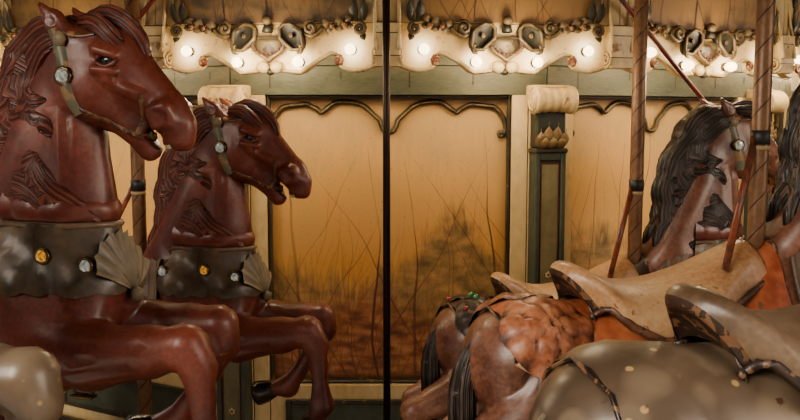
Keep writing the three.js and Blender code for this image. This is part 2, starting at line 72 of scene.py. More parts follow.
def chain(points, radii, **kind):
    return [part(p, q, r, s, **kind) for p, q, r, s in zip(points, points[1:], radii, radii[1:])]


def both_sides(parts):
    flip = np.array([1, -1, 1])
    return parts + [dict(p, a=p["a"] * flip, b=p["b"] * flip) for p in parts]


def fine_path(points, count):
    """A smooth path through the points."""
    points = np.array(points, float)
    padded = np.vstack([2 * points[0] - points[1], points, 2 * points[-1] - points[-2]])
    t = np.linspace(0, len(points) - 1 - 1e-6, count)
    i = t.astype(int)
    f = (t - i)[:, None]
    p0, p1, p2, p3 = padded[i], padded[i + 1], padded[i + 2], padded[i + 3]
    square = 2 * p0 - 5 * p1 + 4 * p2 - p3
    cube = 3 * p1 - p0 - 3 * p2 + p3
    return 0.5 * (2 * p1 + (p2 - p0) * f + square * f ** 2 + cube * f ** 3)


MIDDLE_STRAND, SIDE_STRAND = 0.62, 0.52  # widths of a lock's strands, as shares of the lock's radius


def lock_parts(points, radii, strands=3, count=12, spread=0.62):
    """A carved lock of hair: strands side by side along one path."""
    path = fine_path(points, count)
    size = np.interp(np.linspace(0, len(radii) - 1, count), range(len(radii)), radii)
    along = np.gradient(path, axis=0)
    along /= np.linalg.norm(along, axis=1, keepdims=True)
    side = np.cross(along, (0, 1, 0))
    parts = []
    for k in range(strands):
        shift = (k - (strands - 1) / 2) * spread * size * 2 / max(strands - 1, 1)
        line = path + side * shift[:, None]
        width = size * (MIDDLE_STRAND if k == (strands - 1) / 2 else SIDE_STRAND)
        parts += chain(list(line), list(width), blend=0.004)
    return parts


def distance(points, p):
    """Signed distance, about, from points to one part."""
    a, b = p["a"], p["b"]
    middle = (a[1] + b[1]) / 2
    q = points - a
    q[..., 1] = (points[..., 1] - middle) / p["squeeze"] + middle - a[1]
    ab = b - a
    t = np.clip(q @ ab / max(ab @ ab, 1e-12), 0, 1)
    away = np.sqrt(((q - t[..., None] * ab) ** 2).sum(-1))
    return (away - (p["ra"] + (p["rb"] - p["ra"]) * t)) * min(1.0, (1 + p["squeeze"]) / 2)


def merged(value, new, p):
    """The field with one more part joined to it or cut from it, the join rounded."""
    k = p["blend"]
    if p["cut"]:
        h = np.clip(0.5 - 0.5 * (new + value) / k, 0, 1)
        return value + (-new - value) * h + k * h * (1 - h)
    h = np.clip(0.5 + 0.5 * (value - new) / k, 0, 1)
    return value + (new - value) * h - k * h * (1 - h)


def grid_field(parts, low, high, step):
    """The parts' field on a grid, each part worked out only near itself."""
    counts = np.ceil((np.array(high) - low) / step).astype(int) + 1
    axes = [low[i] + step * np.arange(counts[i]) for i in range(3)]
    values = np.full(counts, FAR)
    for p in parts:
        reach = max(p["ra"], p["rb"]) * max(1.0, p["squeeze"]) + p["blend"] + 3 * step
        start = np.minimum(p["a"], p["b"]) - reach
        stop = np.maximum(p["a"], p["b"]) + reach
        cuts = tuple(slice(*np.searchsorted(axes[i], [start[i], stop[i]])) for i in range(3))
        block = np.stack(np.meshgrid(*[axes[i][cuts[i]] for i in range(3)], indexing="ij"), -1)
        values[cuts] = merged(values[cuts], distance(block, p), p)
    return values


def net_surface(values, low, step):
    """Points and quads of the surface where the values pass through zero, one point to a cell."""
    inside = values < 0
    shape = tuple(n - 1 for n in values.shape)
    total = np.zeros(shape + (3,))
    hits = np.zeros(shape, int)

    def corner(array, offset):
        return array[tuple(slice(o, o + n) for o, n in zip(offset, shape))]

    corners = [(i, j, k) for i in (0, 1) for j in (0, 1) for k in (0, 1)]
    for first in corners:
        for axis in range(3):
            if first[axis]:
                continue
            second = tuple(1 if i == axis else first[i] for i in range(3))
            v0, v1 = corner(values, first), corner(values, second)
            crossing = corner(inside, first) != corner(inside, second)
            t = np.where(crossing, v0 / np.where(crossing, v0 - v1, 1), 0)
            for i in range(3):
                total[..., i] += np.where(crossing, first[i] + (t if i == axis else 0), 0)
            hits += crossing
    used = hits > 0
    number = np.full(shape, -1)
    number[used] = np.arange(used.sum())
    cells = np.argwhere(used)
    points = np.array(low) + step * (cells + total[used] / hits[used][:, None])
    quads = []
    for axis in range(3):
        u, v = [i for i in range(3) if i != axis]
        ahead = [slice(None)] * 3
        behind = [slice(None)] * 3
        ahead[axis], behind[axis] = slice(1, None), slice(None, -1)
        change = inside[tuple(behind)] != inside[tuple(ahead)]
        at = np.argwhere(change)
        at = at[(at[:, u] > 0) & (at[:, v] > 0) & (at[:, u] < shape[u]) & (at[:, v] < shape[v])]
        leaving = inside[tuple(behind)][tuple(at.T)]
        ring = []
        for du, dv in ((1, 1), (0, 1), (0, 0), (1, 0)):
            cell = at.copy()
            cell[:, u] -= du
            cell[:, v] -= dv
            ring.append(number[tuple(cell.T)])
        quad = np.stack(ring, 1)
        flip = leaving if axis != 1 else ~leaving
        quad[~flip] = quad[~flip][:, ::-1]
        quads.append(quad)
    return points, np.concatenate(quads)


def fewer_faces(points, quads, faces, rounds):
    """The surface smoothed a little and thinned out to about that many triangles."""
    mesh = bpy.data.meshes.new("form")
    mesh.from_pydata(points.tolist(), [], quads.tolist())
    holder = bpy.data.objects.new("form", mesh)
    bpy.context.scene.collection.objects.link(holder)
    if rounds:
        smooth = holder.modifiers.new("smooth", "SMOOTH")
        smooth.factor = 0.5
        smooth.iterations = rounds
    thin = holder.modifiers.new("thin", "DECIMATE")
    thin.ratio = faces / (2 * len(quads))
    bpy.context.view_layer.update()
    result = bpy.data.meshes.new_from_object(holder.evaluated_get(bpy.context.evaluated_depsgraph_get()))
    co = np.empty(len(result.vertices) * 3)
    result.vertices.foreach_get("co", co)
    result.calc_loop_triangles()
    corners = np.empty(len(result.loop_triangles) * 3, int)
    result.loop_triangles.foreach_get("vertices", corners)
    bpy.data.objects.remove(holder)
    bpy.data.meshes.remove(mesh)
    bpy.data.meshes.remove(result)
    return co.reshape(-1, 3), corners.reshape(-1, 3)


class Form:
    """A form's field on a grid, and where its skin is along a line from inside it."""

    def __init__(self, parts, low, high, step):
        self.low, self.step = np.array(low, float), step
        self.values = grid_field(parts, low, high, step)

    def surface(self, faces, rounds):
        points, quads = net_surface(self.values, self.low, self.step)
        return fewer_faces(points, quads, faces, rounds)

    def at(self, points):
        cell = (points - self.low) / self.step
        top = np.array(self.values.shape) - 1.001
        cell = np.clip(cell, 0, top)
        first = cell.astype(int)
        f = cell - first
        total = np.zeros(points.shape[:-1])
        for i in (0, 1):
            for j in (0, 1):
                for k in (0, 1):
                    w = np.abs(1 - i - f[..., 0]) * np.abs(1 - j - f[..., 1]) * np.abs(1 - k - f[..., 2])
                    total += w * self.values[first[..., 0] + i, first[..., 1] + j, first[..., 2] + k]
        return total

    def skin(self, starts, directions, reach=0.3, steps=90):
        """The outermost point of the form along each direction."""
        directions = directions / np.linalg.norm(directions, axis=-1, keepdims=True)
        t = np.linspace(0, reach, steps)
        inside = self.at(starts[..., None, :] + directions[..., None, :] * t[:, None]) < 0
        last = steps - 1 - np.argmax(inside[..., ::-1], axis=-1)
        near = t[np.where(inside.any(-1), last, 0)]
        return starts + directions * near[..., None]


# Shapes: points, faces, a material, the texture's own coordinates and a mark at each point, for painted shade
# and dirt in crevices and for painted bulb glow on the lamp boards
def shape(co, faces, material, smooth=True, dirt=0.0):
    co = np.asarray(co, float)
    faces = [np.asarray(f, int) for f in (faces if isinstance(faces, list) else [faces])]
    dirt = np.broadcast_to(np.asarray(dirt, float), len(co)).copy()
    return dict(co=co, faces=faces, material=material, smooth=smooth, local=co.copy(), dirt=dirt)


def changed(s, matrix, shift=(0, 0, 0)):
    """The shape turned or mirrored by a 3x3 matrix and moved. Its texture goes with it."""
    return dict(s, co=s["co"] @ np.array(matrix, float).T + np.array(shift, float))


def at_azimuth(s, azimuth, radius=0.0, number=0):
    """The shape turned to an azimuth, after a move outwards. number gives each copy other grain."""
    a = math.radians(azimuth)
    turn = [[math.cos(a), -math.sin(a), 0], [math.sin(a), math.cos(a), 0], [0, 0, 1]]
    moved = dict(s, co=s["co"] + [0, -radius, 0], local=s["local"] + [1.7 * number, 0.9 * number, 0])
    return changed(moved, turn)


def round_all(shapes, azimuths, radius=0.0):
    return [at_azimuth(s, a, radius, i) for i, a in enumerate(azimuths) for s in shapes]


def mirrored(s):
    return changed(s, np.diag([-1, 1, 1]))


def both_halves(shapes):
    return shapes + [mirrored(s) for s in shapes]


def placed(s, shift):
    return changed(s, np.eye(3), shift)


def block(low, high, material, bevel=0.003):
    """A box with its edges bevelled."""
    low, high = np.array(low, float), np.array(high, float)
    middle, half = (low + high) / 2, (high - low) / 2
    bevel = min(bevel, half.min() * 0.8)
    signs = [(i, j, k) for i in (-1, 1) for j in (-1, 1) for k in (-1, 1)]
    at = {}
    co = []
    for sign in signs:
        for axis in range(3):
            inset = half - bevel
            inset[axis] = half[axis]
            at[sign, axis] = len(co)
            co.append(middle + np.array(sign) * inset)
    quads, triangles = [], []
    for axis in range(3):
        others = [i for i in range(3) if i != axis]
        for side in (-1, 1):
            ring = []
            for pair in ((-1, -1), (1, -1), (1, 1), (-1, 1)):
                sign = [0, 0, 0]
                sign[axis], sign[others[0]], sign[others[1]] = side, *pair
                ring.append(at[tuple(sign), axis])
            quads.append(ring)
        for pair in ((-1, -1), (1, -1), (1, 1), (-1, 1)):
            ends = []
            for side in (-1, 1):
                sign = [0, 0, 0]
                sign[axis], sign[others[0]], sign[others[1]] = side, *pair
                ends.append(tuple(sign))
            first, second = ends
            quads.append([at[first, others[0]], at[second, others[0]], at[second, others[1]],
                          at[first, others[1]]])
    for sign in signs:
        triangles.append([at[sign, 0], at[sign, 1], at[sign, 2]])
    return shape(co, [quads, triangles], material, smooth=False)


def net(points, material, around=False, smooth=True, dirt=0.0):
    """A surface over rows and columns of points. around joins the last column to the first."""
    rows, columns = points.shape[:2]
    number = np.arange(rows * columns).reshape(rows, columns)
    if around:
        number = np.hstack([number, number[:, :1]])
    quads = np.stack([number[:-1, :-1], number[:-1, 1:], number[1:, 1:], number[1:, :-1]], -1).reshape(-1, 4)
    return shape(points.reshape(-1, 3), [quads], material, smooth, np.ravel(dirt) if np.ndim(dirt) else dirt)


def needed(path, most, bend):
    """The points of a path that its bends need, with no more than so many steps between two."""
    chosen = [0]
    for i in range(1, len(path) - 1):
        before, after = path[i] - path[chosen[-1]], path[i + 1] - path[i]
        turn = np.dot(before, after) / max(np.linalg.norm(before) * np.linalg.norm(after), 1e-12)
        if turn < math.cos(bend) or i - chosen[-1] >= most:
            chosen.append(i)
    return chosen + [len(path) - 1]


def tube(path, radii, sides, material, flat=1.0, up=(0, 1, 0), bend=0.46):
    """A closed tube along a path, of the points that turns of bend radians need, flat times as wide as high."""
    path = np.asarray(path, float)
    radii = np.atleast_1d(radii)
    given = len(radii)
    radii = np.interp(np.linspace(0, 1, len(path)), np.linspace(0, 1, given), radii)
    most = max(1, (len(path) - 1) // max(1, 2 * (given - 1))) if given > 1 else len(path)
    chosen = needed(path, most, bend)
    path, radii = path[chosen], radii[chosen]
    count = len(path)
    along = np.gradient(path, axis=0)
    along /= np.linalg.norm(along, axis=1, keepdims=True)
    side = np.cross(along, up)
    side /= np.maximum(np.linalg.norm(side, axis=1, keepdims=True), 1e-9)
    over = np.cross(side, along)
    angle = np.linspace(0, 2 * math.pi, sides, endpoint=False)[None, :]
    size = radii[:, None]
    points = path[:, None] + side[:, None] * (size * np.cos(angle) * flat)[..., None]
    points = points + over[:, None] * (size * np.sin(angle))[..., None]
    made = net(points, material, around=True)
    made["faces"].append(np.array([np.arange(sides)[::-1], (count - 1) * sides + np.arange(sides)]))
    return made


def lathe(profile, sides, material, smooth=True):
    """A solid of revolution about Z from points of radius and height."""
    profile = np.array(profile, float)
    angle = np.linspace(0, 2 * math.pi, sides, endpoint=False)
    ring = np.stack([np.sin(angle), -np.cos(angle), np.zeros(sides)], -1)
    points = profile[:, :1, None] * ring[None] + np.array([0, 0, 1]) * profile[:, 1:2, None]
    made = net(points, material, around=True, smooth=smooth)
    last = (len(profile) - 1) * sides
    made["faces"].append(np.array([np.arange(sides)[::-1], last + np.arange(sides)]))
    return made


def ball(centre, radius, material, sides=12, squash=(1, 1, 1)):
    angle = np.linspace(-math.pi / 2, math.pi / 2, sides // 2 + 1)
    made = lathe(np.stack([np.maximum(np.cos(angle), 0.02), np.sin(angle)], -1), sides, material)
    return changed(made, np.diag(np.array(squash) * radius), centre)


def facing(s):
    """A shape made about Z, turned so that its axis points to -Y."""
    return changed(s, [[1, 0, 0], [0, 0, -1], [0, 1, 0]])


def slab(outline, back, front, material, bevel=0.004):
    """A board cut to an outline of x, z points, between two depths on Y, its front edge bevelled."""
    outline = np.array(outline, float)
    count = len(outline)
    if np.sum(outline[:, 0] * np.roll(outline[:, 1], -1) - np.roll(outline[:, 0], -1) * outline[:, 1]) < 0:
        outline = outline[::-1]
    step = np.roll(outline, -1, 0) - np.roll(outline, 1, 0)
    inward = np.stack([-step[:, 1], step[:, 0]], -1)
    inward /= np.maximum(np.linalg.norm(inward, axis=1, keepdims=True), 1e-9)
    loops = []
    for points, y in ((outline, back), (outline, front + bevel), (outline + inward * bevel, front)):
        loops.append(np.stack([points[:, 0], np.full(count, y), points[:, 1]], -1))
    made = net(np.stack(loops), material, around=True, smooth=False)
    made["faces"].append(np.array([np.arange(count)[::-1], 2 * count + np.arange(count)]))
    return made


def spiral(centre, start, turns, tilt, steps=26, shrink=0.12, side=1):
    """Points x, z of a volute that winds in to its centre."""
    t = np.linspace(0, 1, steps)
    radius = start * (1 - (1 - shrink) * t)
    angle = math.radians(tilt) + side * 2 * math.pi * turns * t
    return np.stack([centre[0] + radius * np.cos(angle), centre[1] + radius * np.sin(angle)], -1)


def in_front(points, y):
    """Points x, z set at a depth on Y, or at a depth each."""
    points = np.asarray(points, float)
    return np.stack([points[:, 0], np.broadcast_to(y, len(points)), points[:, 1]], -1)


def joined(name, shapes, body, replaces=()):
    """One object of many shapes, with a material slot for each material, that rides on a body."""
    obj = bpy.data.objects.new(name, mesh_of(name, shapes))
    bpy.context.scene.collection.objects.link(obj)
    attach(obj, body)
    if replaces:
        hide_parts(*replaces)
    return obj


def mesh_of(name, shapes):
    counts = np.cumsum([0] + [len(s["co"]) for s in shapes])
    materials = sorted({s["material"] for s in shapes})
    corners, totals, marks, smooths = [], [], [], []
    for s, first in zip(shapes, counts):
        for faces in s["faces"]:
            if len(faces) == 0:
                continue
            corners.append((faces + first).ravel())
            totals.append(np.full(len(faces), faces.shape[1]))
            marks.append(np.full(len(faces), materials.index(s["material"])))
            smooths.append(np.full(len(faces), s["smooth"]))
    corners, totals = np.concatenate(corners), np.concatenate(totals)
    mesh = bpy.data.meshes.new(name)
    mesh.vertices.add(counts[-1])
    mesh.vertices.foreach_set("co", np.concatenate([s["co"] for s in shapes]).ravel())
    mesh.loops.add(len(corners))
    mesh.loops.foreach_set("vertex_index", corners)
    mesh.polygons.add(len(totals))
    mesh.polygons.foreach_set("loop_start", np.cumsum(totals) - totals)
    mesh.polygons.foreach_set("material_index", np.concatenate(marks))
    mesh.polygons.foreach_set("use_smooth", np.concatenate(smooths))
    for material in materials:
        mesh.materials.append(MATERIALS[material])
    mesh.update(calc_edges=True)
    face_out(mesh)
    local = mesh.attributes.new("local", "FLOAT_VECTOR", "POINT")
    local.data.foreach_set("vector", np.concatenate([s["local"] for s in shapes]).ravel())
    # each point's mark: painted shade between carved petals, painted bulb glow on the lamp boards
    dirt = mesh.attributes.new("dirt", "FLOAT", "POINT")
    dirt.data.foreach_set("value", np.concatenate([s["dirt"] for s in shapes]))
    return mesh


def face_out(mesh):
    """Turns every face of every closed shell outwards."""
    work = bmesh.new()
    work.from_mesh(mesh)
    bmesh.ops.recalc_face_normals(work, faces=work.faces[:])
    work.to_mesh(mesh)
    work.free()


# Materials
MATERIALS = {}


def linear(colour):
    return tuple(((c / 255 + 0.055) / 1.055) ** 2.4 if c > 10 else c / 255 / 12.92 for c in colour) + (1.0,)


def add(tree, kind, inputs=(), **settings):
    """A shader node. An input is a value, or another node's output to link."""
    made = tree.nodes.new("ShaderNode" + kind)
    for name, value in settings.items():
        setattr(made, name, value)
    for name, value in dict(inputs).items():
        if isinstance(value, bpy.types.NodeSocket):
            tree.links.new(value, made.inputs[name])
        else:
            made.inputs[name].default_value = value
    return made


def ramp(tree, fac, stops):
    made = add(tree, "ValToRGB", {"Fac": fac})
    points = made.color_ramp.elements
    while len(points) < len(stops):
        points.new(0.5)
    for point, (place, colour) in zip(points, stops):
        point.position, point.color = place, linear(colour)
    return made.outputs["Color"]


def mix(tree, fac, a, b):
    made = add(tree, "Mix", data_type="RGBA")
    for socket, value in ((made.inputs[0], fac), (made.inputs[6], a), (made.inputs[7], b)):
        if isinstance(value, bpy.types.NodeSocket):
            tree.links.new(value, socket)
        else:
            socket.default_value = value if isinstance(value, float) else linear(value)
    return made.outputs[2]


def span(tree, value, low, high, to_low=0.0, to_high=1.0):
    inputs = {"Value": value, "From Min": low, "From Max": high, "To Min": to_low, "To Max": to_high}
    return add(tree, "MapRange", inputs, clamp=True).outputs["Result"]


def maths(tree, operation, a, b=0.0):
    made = add(tree, "Math", operation=operation)
    for socket, value in zip(made.inputs, (a, b)):
        if isinstance(value, bpy.types.NodeSocket):
            tree.links.new(value, socket)
        else:
            socket.default_value = value
    return made.outputs[0]


def noise(tree, vector, scale, detail=5.0, stretch=(1, 1, 1), warp=0.0):
    placed_at = add(tree, "Mapping", {"Vector": vector, "Scale": stretch}).outputs["Vector"]
    inputs = {"Vector": placed_at, "Scale": scale, "Detail": detail, "Distortion": warp}
    return add(tree, "TexNoise", inputs).outputs["Fac"]


def started(name, whole_node):
    """A new material, its tree, its shader and the coordinates that its texture uses."""
    material = bpy.data.materials.new(name)
    material.use_nodes = True
    tree = material.node_tree
    shader = tree.nodes["Principled BSDF"]
    if whole_node:
        vector = add(tree, "TexCoord").outputs["Object"]
    else:
        vector = add(tree, "Attribute", attribute_name="local").outputs["Vector"]
    MATERIALS[name] = material
    return tree, shader, vector


def crevices(tree, whole_node, reach, colour, wear_and_shade):
    """The colour darkened in crevices by ambient occlusion and by each point's mark: painted shade, with dirt.
    """
    near = add(tree, "AmbientOcclusion", {"Distance": reach}, samples=3).outputs["AO"]
    shut = span(tree, near, 0.35, 0.85, 0.8, 0.0)
    if not whole_node:
        # the per-point mark adds painted shade to the ambient occlusion
        shut = maths(tree, "MAXIMUM", shut, add(tree, "Attribute", attribute_name="dirt").outputs["Fac"])
    return mix(tree, shut, colour, wear_and_shade)


def linked(tree, shader, **sockets):
    for name, value in sockets.items():
        socket = shader.inputs[name.replace("_", " ")]
        if isinstance(value, bpy.types.NodeSocket):
            tree.links.new(value, socket)
        else:
            socket.default_value = value


def bump(tree, height, strength, distance):
    inputs = {"Height": height, "Strength": strength, "Distance": distance}
    return add(tree, "Bump", inputs).outputs["Normal"]


def finish(name, stops, scale=6.0, stretch=(1, 1, 1), chips=None, chip_share=0.3, dirt=(40, 28, 18),
           reach=0.03,
           rough=(0.35, 0.6), relief=0.25, depth=0.004, metal=0.0, coat=0.0, grain=40.0, whole_node=False,
           warp=0.6):
    """Aged paint, leather or metal: clouded colour, chips down to an undercoat, dirt and painted shade in its
    crevices.
    """
    tree, shader, vector = started(name, whole_node)
    broad = noise(tree, vector, scale, 6.0, stretch, warp)
    fine = noise(tree, vector, grain, 8.0, stretch)
    mixed = maths(tree, "ADD", maths(tree, "MULTIPLY", broad, 0.7), maths(tree, "MULTIPLY", fine, 0.3))
    places = np.linspace(0.3, 0.7, len(stops))
    colour = ramp(tree, mixed, list(zip(places, stops)))
    height = fine
    if chips:
        spots = noise(tree, vector, grain * 0.55, 9.0, stretch, 0.4)
        area = noise(tree, vector, scale * 0.8, 3.0)
        chipped = span(tree, maths(tree, "ADD", spots, maths(tree, "MULTIPLY", area, 0.5)), 1.06 - chip_share,
                       1.09 - chip_share)
        colour = mix(tree, chipped, colour, chips)
        height = maths(tree, "SUBTRACT", height, chipped)
    # crevices darkened by ambient occlusion: painted shade, with dirt
    if dirt:
        colour = crevices(tree, whole_node, reach, colour, dirt)
    linked(tree, shader, Base_Color=colour, Roughness=span(tree, broad, 0.3, 0.7, *rough), Metallic=metal,
           Normal=bump(tree, height, relief, depth))
    if coat:
        linked(tree, shader, Coat_Weight=coat, Coat_Roughness=0.28)
    return dict(tree=tree, shader=shader, vector=vector, colour=colour)


def wood(name, stops):
    """Oiled timber of the frame's own nodes, with its grain along X."""
    tree, shader, vector = started(name, True)
    grain = noise(tree, vector, 2.4, 8.0, (0.8, 14.0, 14.0), 0.3)
    blotch = noise(tree, vector, 3.0, 4.0)
    mixed = maths(tree, "ADD", maths(tree, "MULTIPLY", grain, 0.6), maths(tree, "MULTIPLY", blotch, 0.4))
    colour = ramp(tree, mixed, list(zip(np.linspace(0.32, 0.68, len(stops)), stops)))
    # darker in crevices by ambient occlusion: painted shade, with dirt
    colour = crevices(tree, True, 0.05, colour, (30, 20, 12))
    linked(tree, shader, Base_Color=colour, Roughness=span(tree, grain, 0.3, 0.7, 0.45, 0.75),
           Normal=bump(tree, grain, 0.35, 0.003))


STRAND = 0.0125  # width of one carved strand of hair
FINE_STRAND = STRAND / 2.7


def hair(name, stops):
    """Carved hair: fine strands across each lock, painted shade in their grooves and painted highlight on their
    tops, with worn spots.
    """
    tree, shader, vector = started(name, False)
    parts = add(tree, "SeparateXYZ", {"Vector": vector}).outputs
    drift = noise(tree, vector, 9.0, 3.0, (1, 1, 1), 0.3)
    across = maths(tree, "ADD", parts["X"], maths(tree, "MULTIPLY", drift, 0.012))
    broad = maths(tree, "SINE", maths(tree, "MULTIPLY", across, 2 * math.pi / STRAND))
    thin = maths(tree, "SINE", maths(tree, "MULTIPLY", across, 2 * math.pi / FINE_STRAND))
    height = maths(tree, "ADD", maths(tree, "MULTIPLY", broad, 0.7), maths(tree, "MULTIPLY", thin, 0.3))
    wear_and_shade = noise(tree, vector, 30.0, 7.0)
    # lighter with the strands' height: painted shade in the grooves and painted highlight on the tops, with
    # worn spots
    tone = maths(tree, "ADD", span(tree, height, -1.0, 1.0, 0.0, 0.55), maths(tree, "MULTIPLY", wear_and_shade, 0.7))
    colour = ramp(tree, tone, list(zip((0.30, 0.60, 0.95), stops)))
    # crevices darkened by ambient occlusion: painted shade
    colour = crevices(tree, False, 0.026, colour, (8, 5, 4))
    linked(tree, shader, Base_Color=colour, Roughness=span(tree, wear_and_shade, 0.3, 0.7, 0.34, 0.52),
           Coat_Weight=0.12,
           Coat_Roughness=0.3, Normal=bump(tree, height, 0.75, 0.004))


def glow(name, colour, strength):
    tree, shader, vector = started(name, False)
    hot = noise(tree, vector, 30.0, 2.0)
    shade = mix(tree, span(tree, hot, 0.3, 0.7, 0.0, 0.35), colour, (255, 214, 150))
    linked(tree, shader, Base_Color=shade, Emission_Color=shade, Emission_Strength=strength, Roughness=0.2)


def jewel(name, stops, light=0.0):
    """Cut glass over foil, glowing faintly: painted glow."""
    tree, shader, vector = started(name, False)
    cells = add(tree, "TexVoronoi", {"Vector": vector, "Scale": 160.0}).outputs["Color"]
    fac = add(tree, "SeparateColor", {"Color": cells}).outputs[0]
    colour = ramp(tree, fac, list(zip(np.linspace(0.1, 0.9, len(stops)), stops)))
    # light: emission that makes the stones glow though they are no lamps, a painted glow
    linked(tree, shader, Base_Color=colour, Roughness=0.06, Coat_Weight=1.0, Metallic=0.35,
           Emission_Color=colour, Emission_Strength=light, Normal=bump(tree, fac, 0.5, 0.003))


def strokes(tree, parts, high, bend, often, lean, wide, share, tops, seed):
    """Thin painted strokes side by side, each with its own height: 1 where one lies, else 0."""
    along = maths(tree, "ADD", maths(tree, "MULTIPLY", parts["X"], often),
                  maths(tree, "MULTIPLY", parts["Z"], often * lean))
    along = maths(tree, "ADD", along, maths(tree, "MULTIPLY", bend, often * 0.16))
    cell = maths(tree, "ADD", maths(tree, "FLOOR", along), seed)
    chance = add(tree, "TexWhiteNoise", {"W": cell}, noise_dimensions="1D").outputs["Color"]
    chance = add(tree, "SeparateColor", {"Color": chance}).outputs
    aside = maths(tree, "ABSOLUTE", maths(tree, "SUBTRACT", maths(tree, "FRACT", along), 0.5))
    top = span(tree, chance[1], 0.0, 1.0, *tops)
    below = maths(tree, "SUBTRACT", top, high)
    width = maths(tree, "MULTIPLY", span(tree, below, 0.0, 0.6, 0.25, 1.0), wide)
    line = span(tree, maths(tree, "SUBTRACT", aside, width), 0.0, -wide * 0.5)
    seen = maths(tree, "MULTIPLY", span(tree, below, 0.0, 0.02), maths(tree, "LESS_THAN", chance[0], share))
    return maths(tree, "MULTIPLY", line, seen)


def hill(tree, vector, high, brush, scale, low, tall):
    """1 below a rolling skyline, else 0."""
    skyline = span(tree, noise(tree, vector, scale, 4.0, (1, 1, 0.02)), 0.22, 0.80, low, tall)
    edge = maths(tree, "ADD", maths(tree, "SUBTRACT", high, skyline), maths(tree, "MULTIPLY", brush, 0.22))
    return span(tree, edge, 0.19, 0.09)


# Layers of painted strokes: how many to a metre, lean, width in strokes, share drawn, lowest and highest top,
# seed, strength and colour
STROKE_LAYERS = (
    (56.0, 0.10, 0.22, 0.40, (0.15, 0.78), 3.0, 0.80, (124, 62, 30)),
    (40.0, -0.16, 0.18, 0.34, (0.25, 0.96), 57.0, 0.70, (150, 84, 40)),
    (70.0, 0.24, 0.22, 0.30, (0.10, 0.60), 91.0, 0.75, (84, 52, 26)),
    (48.0, -0.34, 0.18, 0.26, (0.10, 0.50), 37.0, 0.75, (116, 88, 44)),
    (13.0, 0.62, 0.075, 0.34, (0.45, 1.05), 23.0, 0.80, (104, 54, 28)),
    (15.0, -0.52, 0.075, 0.34, (0.45, 1.05), 71.0, 0.75, (112, 58, 30)),
    (6.2, 0.05, 0.045, 0.55, (0.72, 1.10), 11.0, 1.00, (88, 46, 24)),
)


def landscape(name, foot, head, dim=1.0):
    """A golden field with bare trees, reeds, a far bank and near earth, in thin brush strokes."""
    tree, shader, vector = started(name, False)
    parts = add(tree, "SeparateXYZ", {"Vector": vector}).outputs
    high = span(tree, parts["Z"], foot, head)
    wash = noise(tree, vector, 2.2, 8.0, (1, 1, 1), 1.2)
    brush = noise(tree, vector, 20.0, 8.0, (1.8, 1, 0.30), 1.2)
    tone = maths(tree, "ADD", maths(tree, "MULTIPLY", high, 0.75), maths(tree, "MULTIPLY", wash, 0.42))
    tone = maths(tree, "ADD", tone, maths(tree, "MULTIPLY", brush, 0.26))

    def shades(fac, stops):
        return ramp(tree, fac, [(place, tuple(c * dim for c in colour)) for place, colour in stops])

    colour = shades(tone, [(0.34, (190, 122, 60)), (0.50, (216, 152, 76)), (0.68, (226, 170, 90)),
                           (0.86, (222, 174, 100)), (1.02, (200, 164, 102))])
    bank = shades(noise(tree, vector, 15.0, 9.0, (0.8, 1, 1.3), 0.2),
                  [(0.30, (104, 86, 52)), (0.44, (142, 116, 68)), (0.56, (176, 136, 80)),
                   (0.70, (210, 158, 92))])
    colour = mix(tree, hill(tree, vector, high, brush, 1.7, 0.10, 0.66), colour, bank)
    earth = shades(noise(tree, vector, 14.0, 9.0, (0.8, 1, 2.2), 0.25),
                   [(0.32, (100, 56, 30)), (0.46, (152, 90, 48)), (0.58, (186, 120, 68)),
                    (0.72, (208, 148, 92))])
    colour = mix(tree, hill(tree, vector, high, brush, 2.9, 0.10, 0.34), colour, earth)
    bend = noise(tree, vector, 2.0, 1.5, (1, 1, 1), 0.2)
    for often, lean, wide, share, tops, seed, strength, paint in STROKE_LAYERS:
        line = strokes(tree, parts, high, bend, often, lean, wide, share, tops, seed)
        faint = span(tree, wash, 0.36, 0.60, strength, strength * 0.35)
        colour = mix(tree, maths(tree, "MULTIPLY", line, faint), colour, tuple(c * dim for c in paint))
    specks = noise(tree, vector, 120.0, 6.0)
    colour = mix(tree, span(tree, specks, 0.66, 0.72, 0.0, 0.5), colour, (96, 60, 34))
    # darker near the mouldings by ambient occlusion: painted shade
    colour = crevices(tree, False, 0.05, colour, (110, 68, 34))
    linked(tree, shader, Base_Color=colour, Roughness=span(tree, wash, 0.3, 0.7, 0.4, 0.6),
           Normal=bump(tree, brush, 0.2, 0.003))


def lit_board(name, strength):
    """Cream paint with the painted glow of the bulbs' glare on it, by how near each point is to one."""
    tree, shader, vector = started(name, False)
    # how near the point is to a bulb, which sets the painted glow
    near = add(tree, "Attribute", attribute_name="dirt").outputs["Fac"]
    broad = noise(tree, vector, 5.0, 6.0)
    wear_and_shade = noise(tree, vector, 46.0, 8.0)
    colour = ramp(tree, broad, [(0.3, (196, 160, 98)), (0.5, (224, 194, 132)), (0.7, (238, 214, 160))])
    colour = mix(tree, span(tree, wear_and_shade, 0.62, 0.66, 0.0, 0.8), colour, (166, 120, 68))
    glare = ramp(tree, near, [(0.0, (255, 170, 80)), (0.5, (255, 214, 138)), (1.0, (255, 242, 206))])
    linked(tree, shader, Base_Color=colour, Roughness=0.5, Emission_Color=glare,
           Emission_Strength=maths(tree, "MULTIPLY", maths(tree, "POWER", near, 1.6), strength),
           Normal=bump(tree, wear_and_shade, 0.15, 0.002))


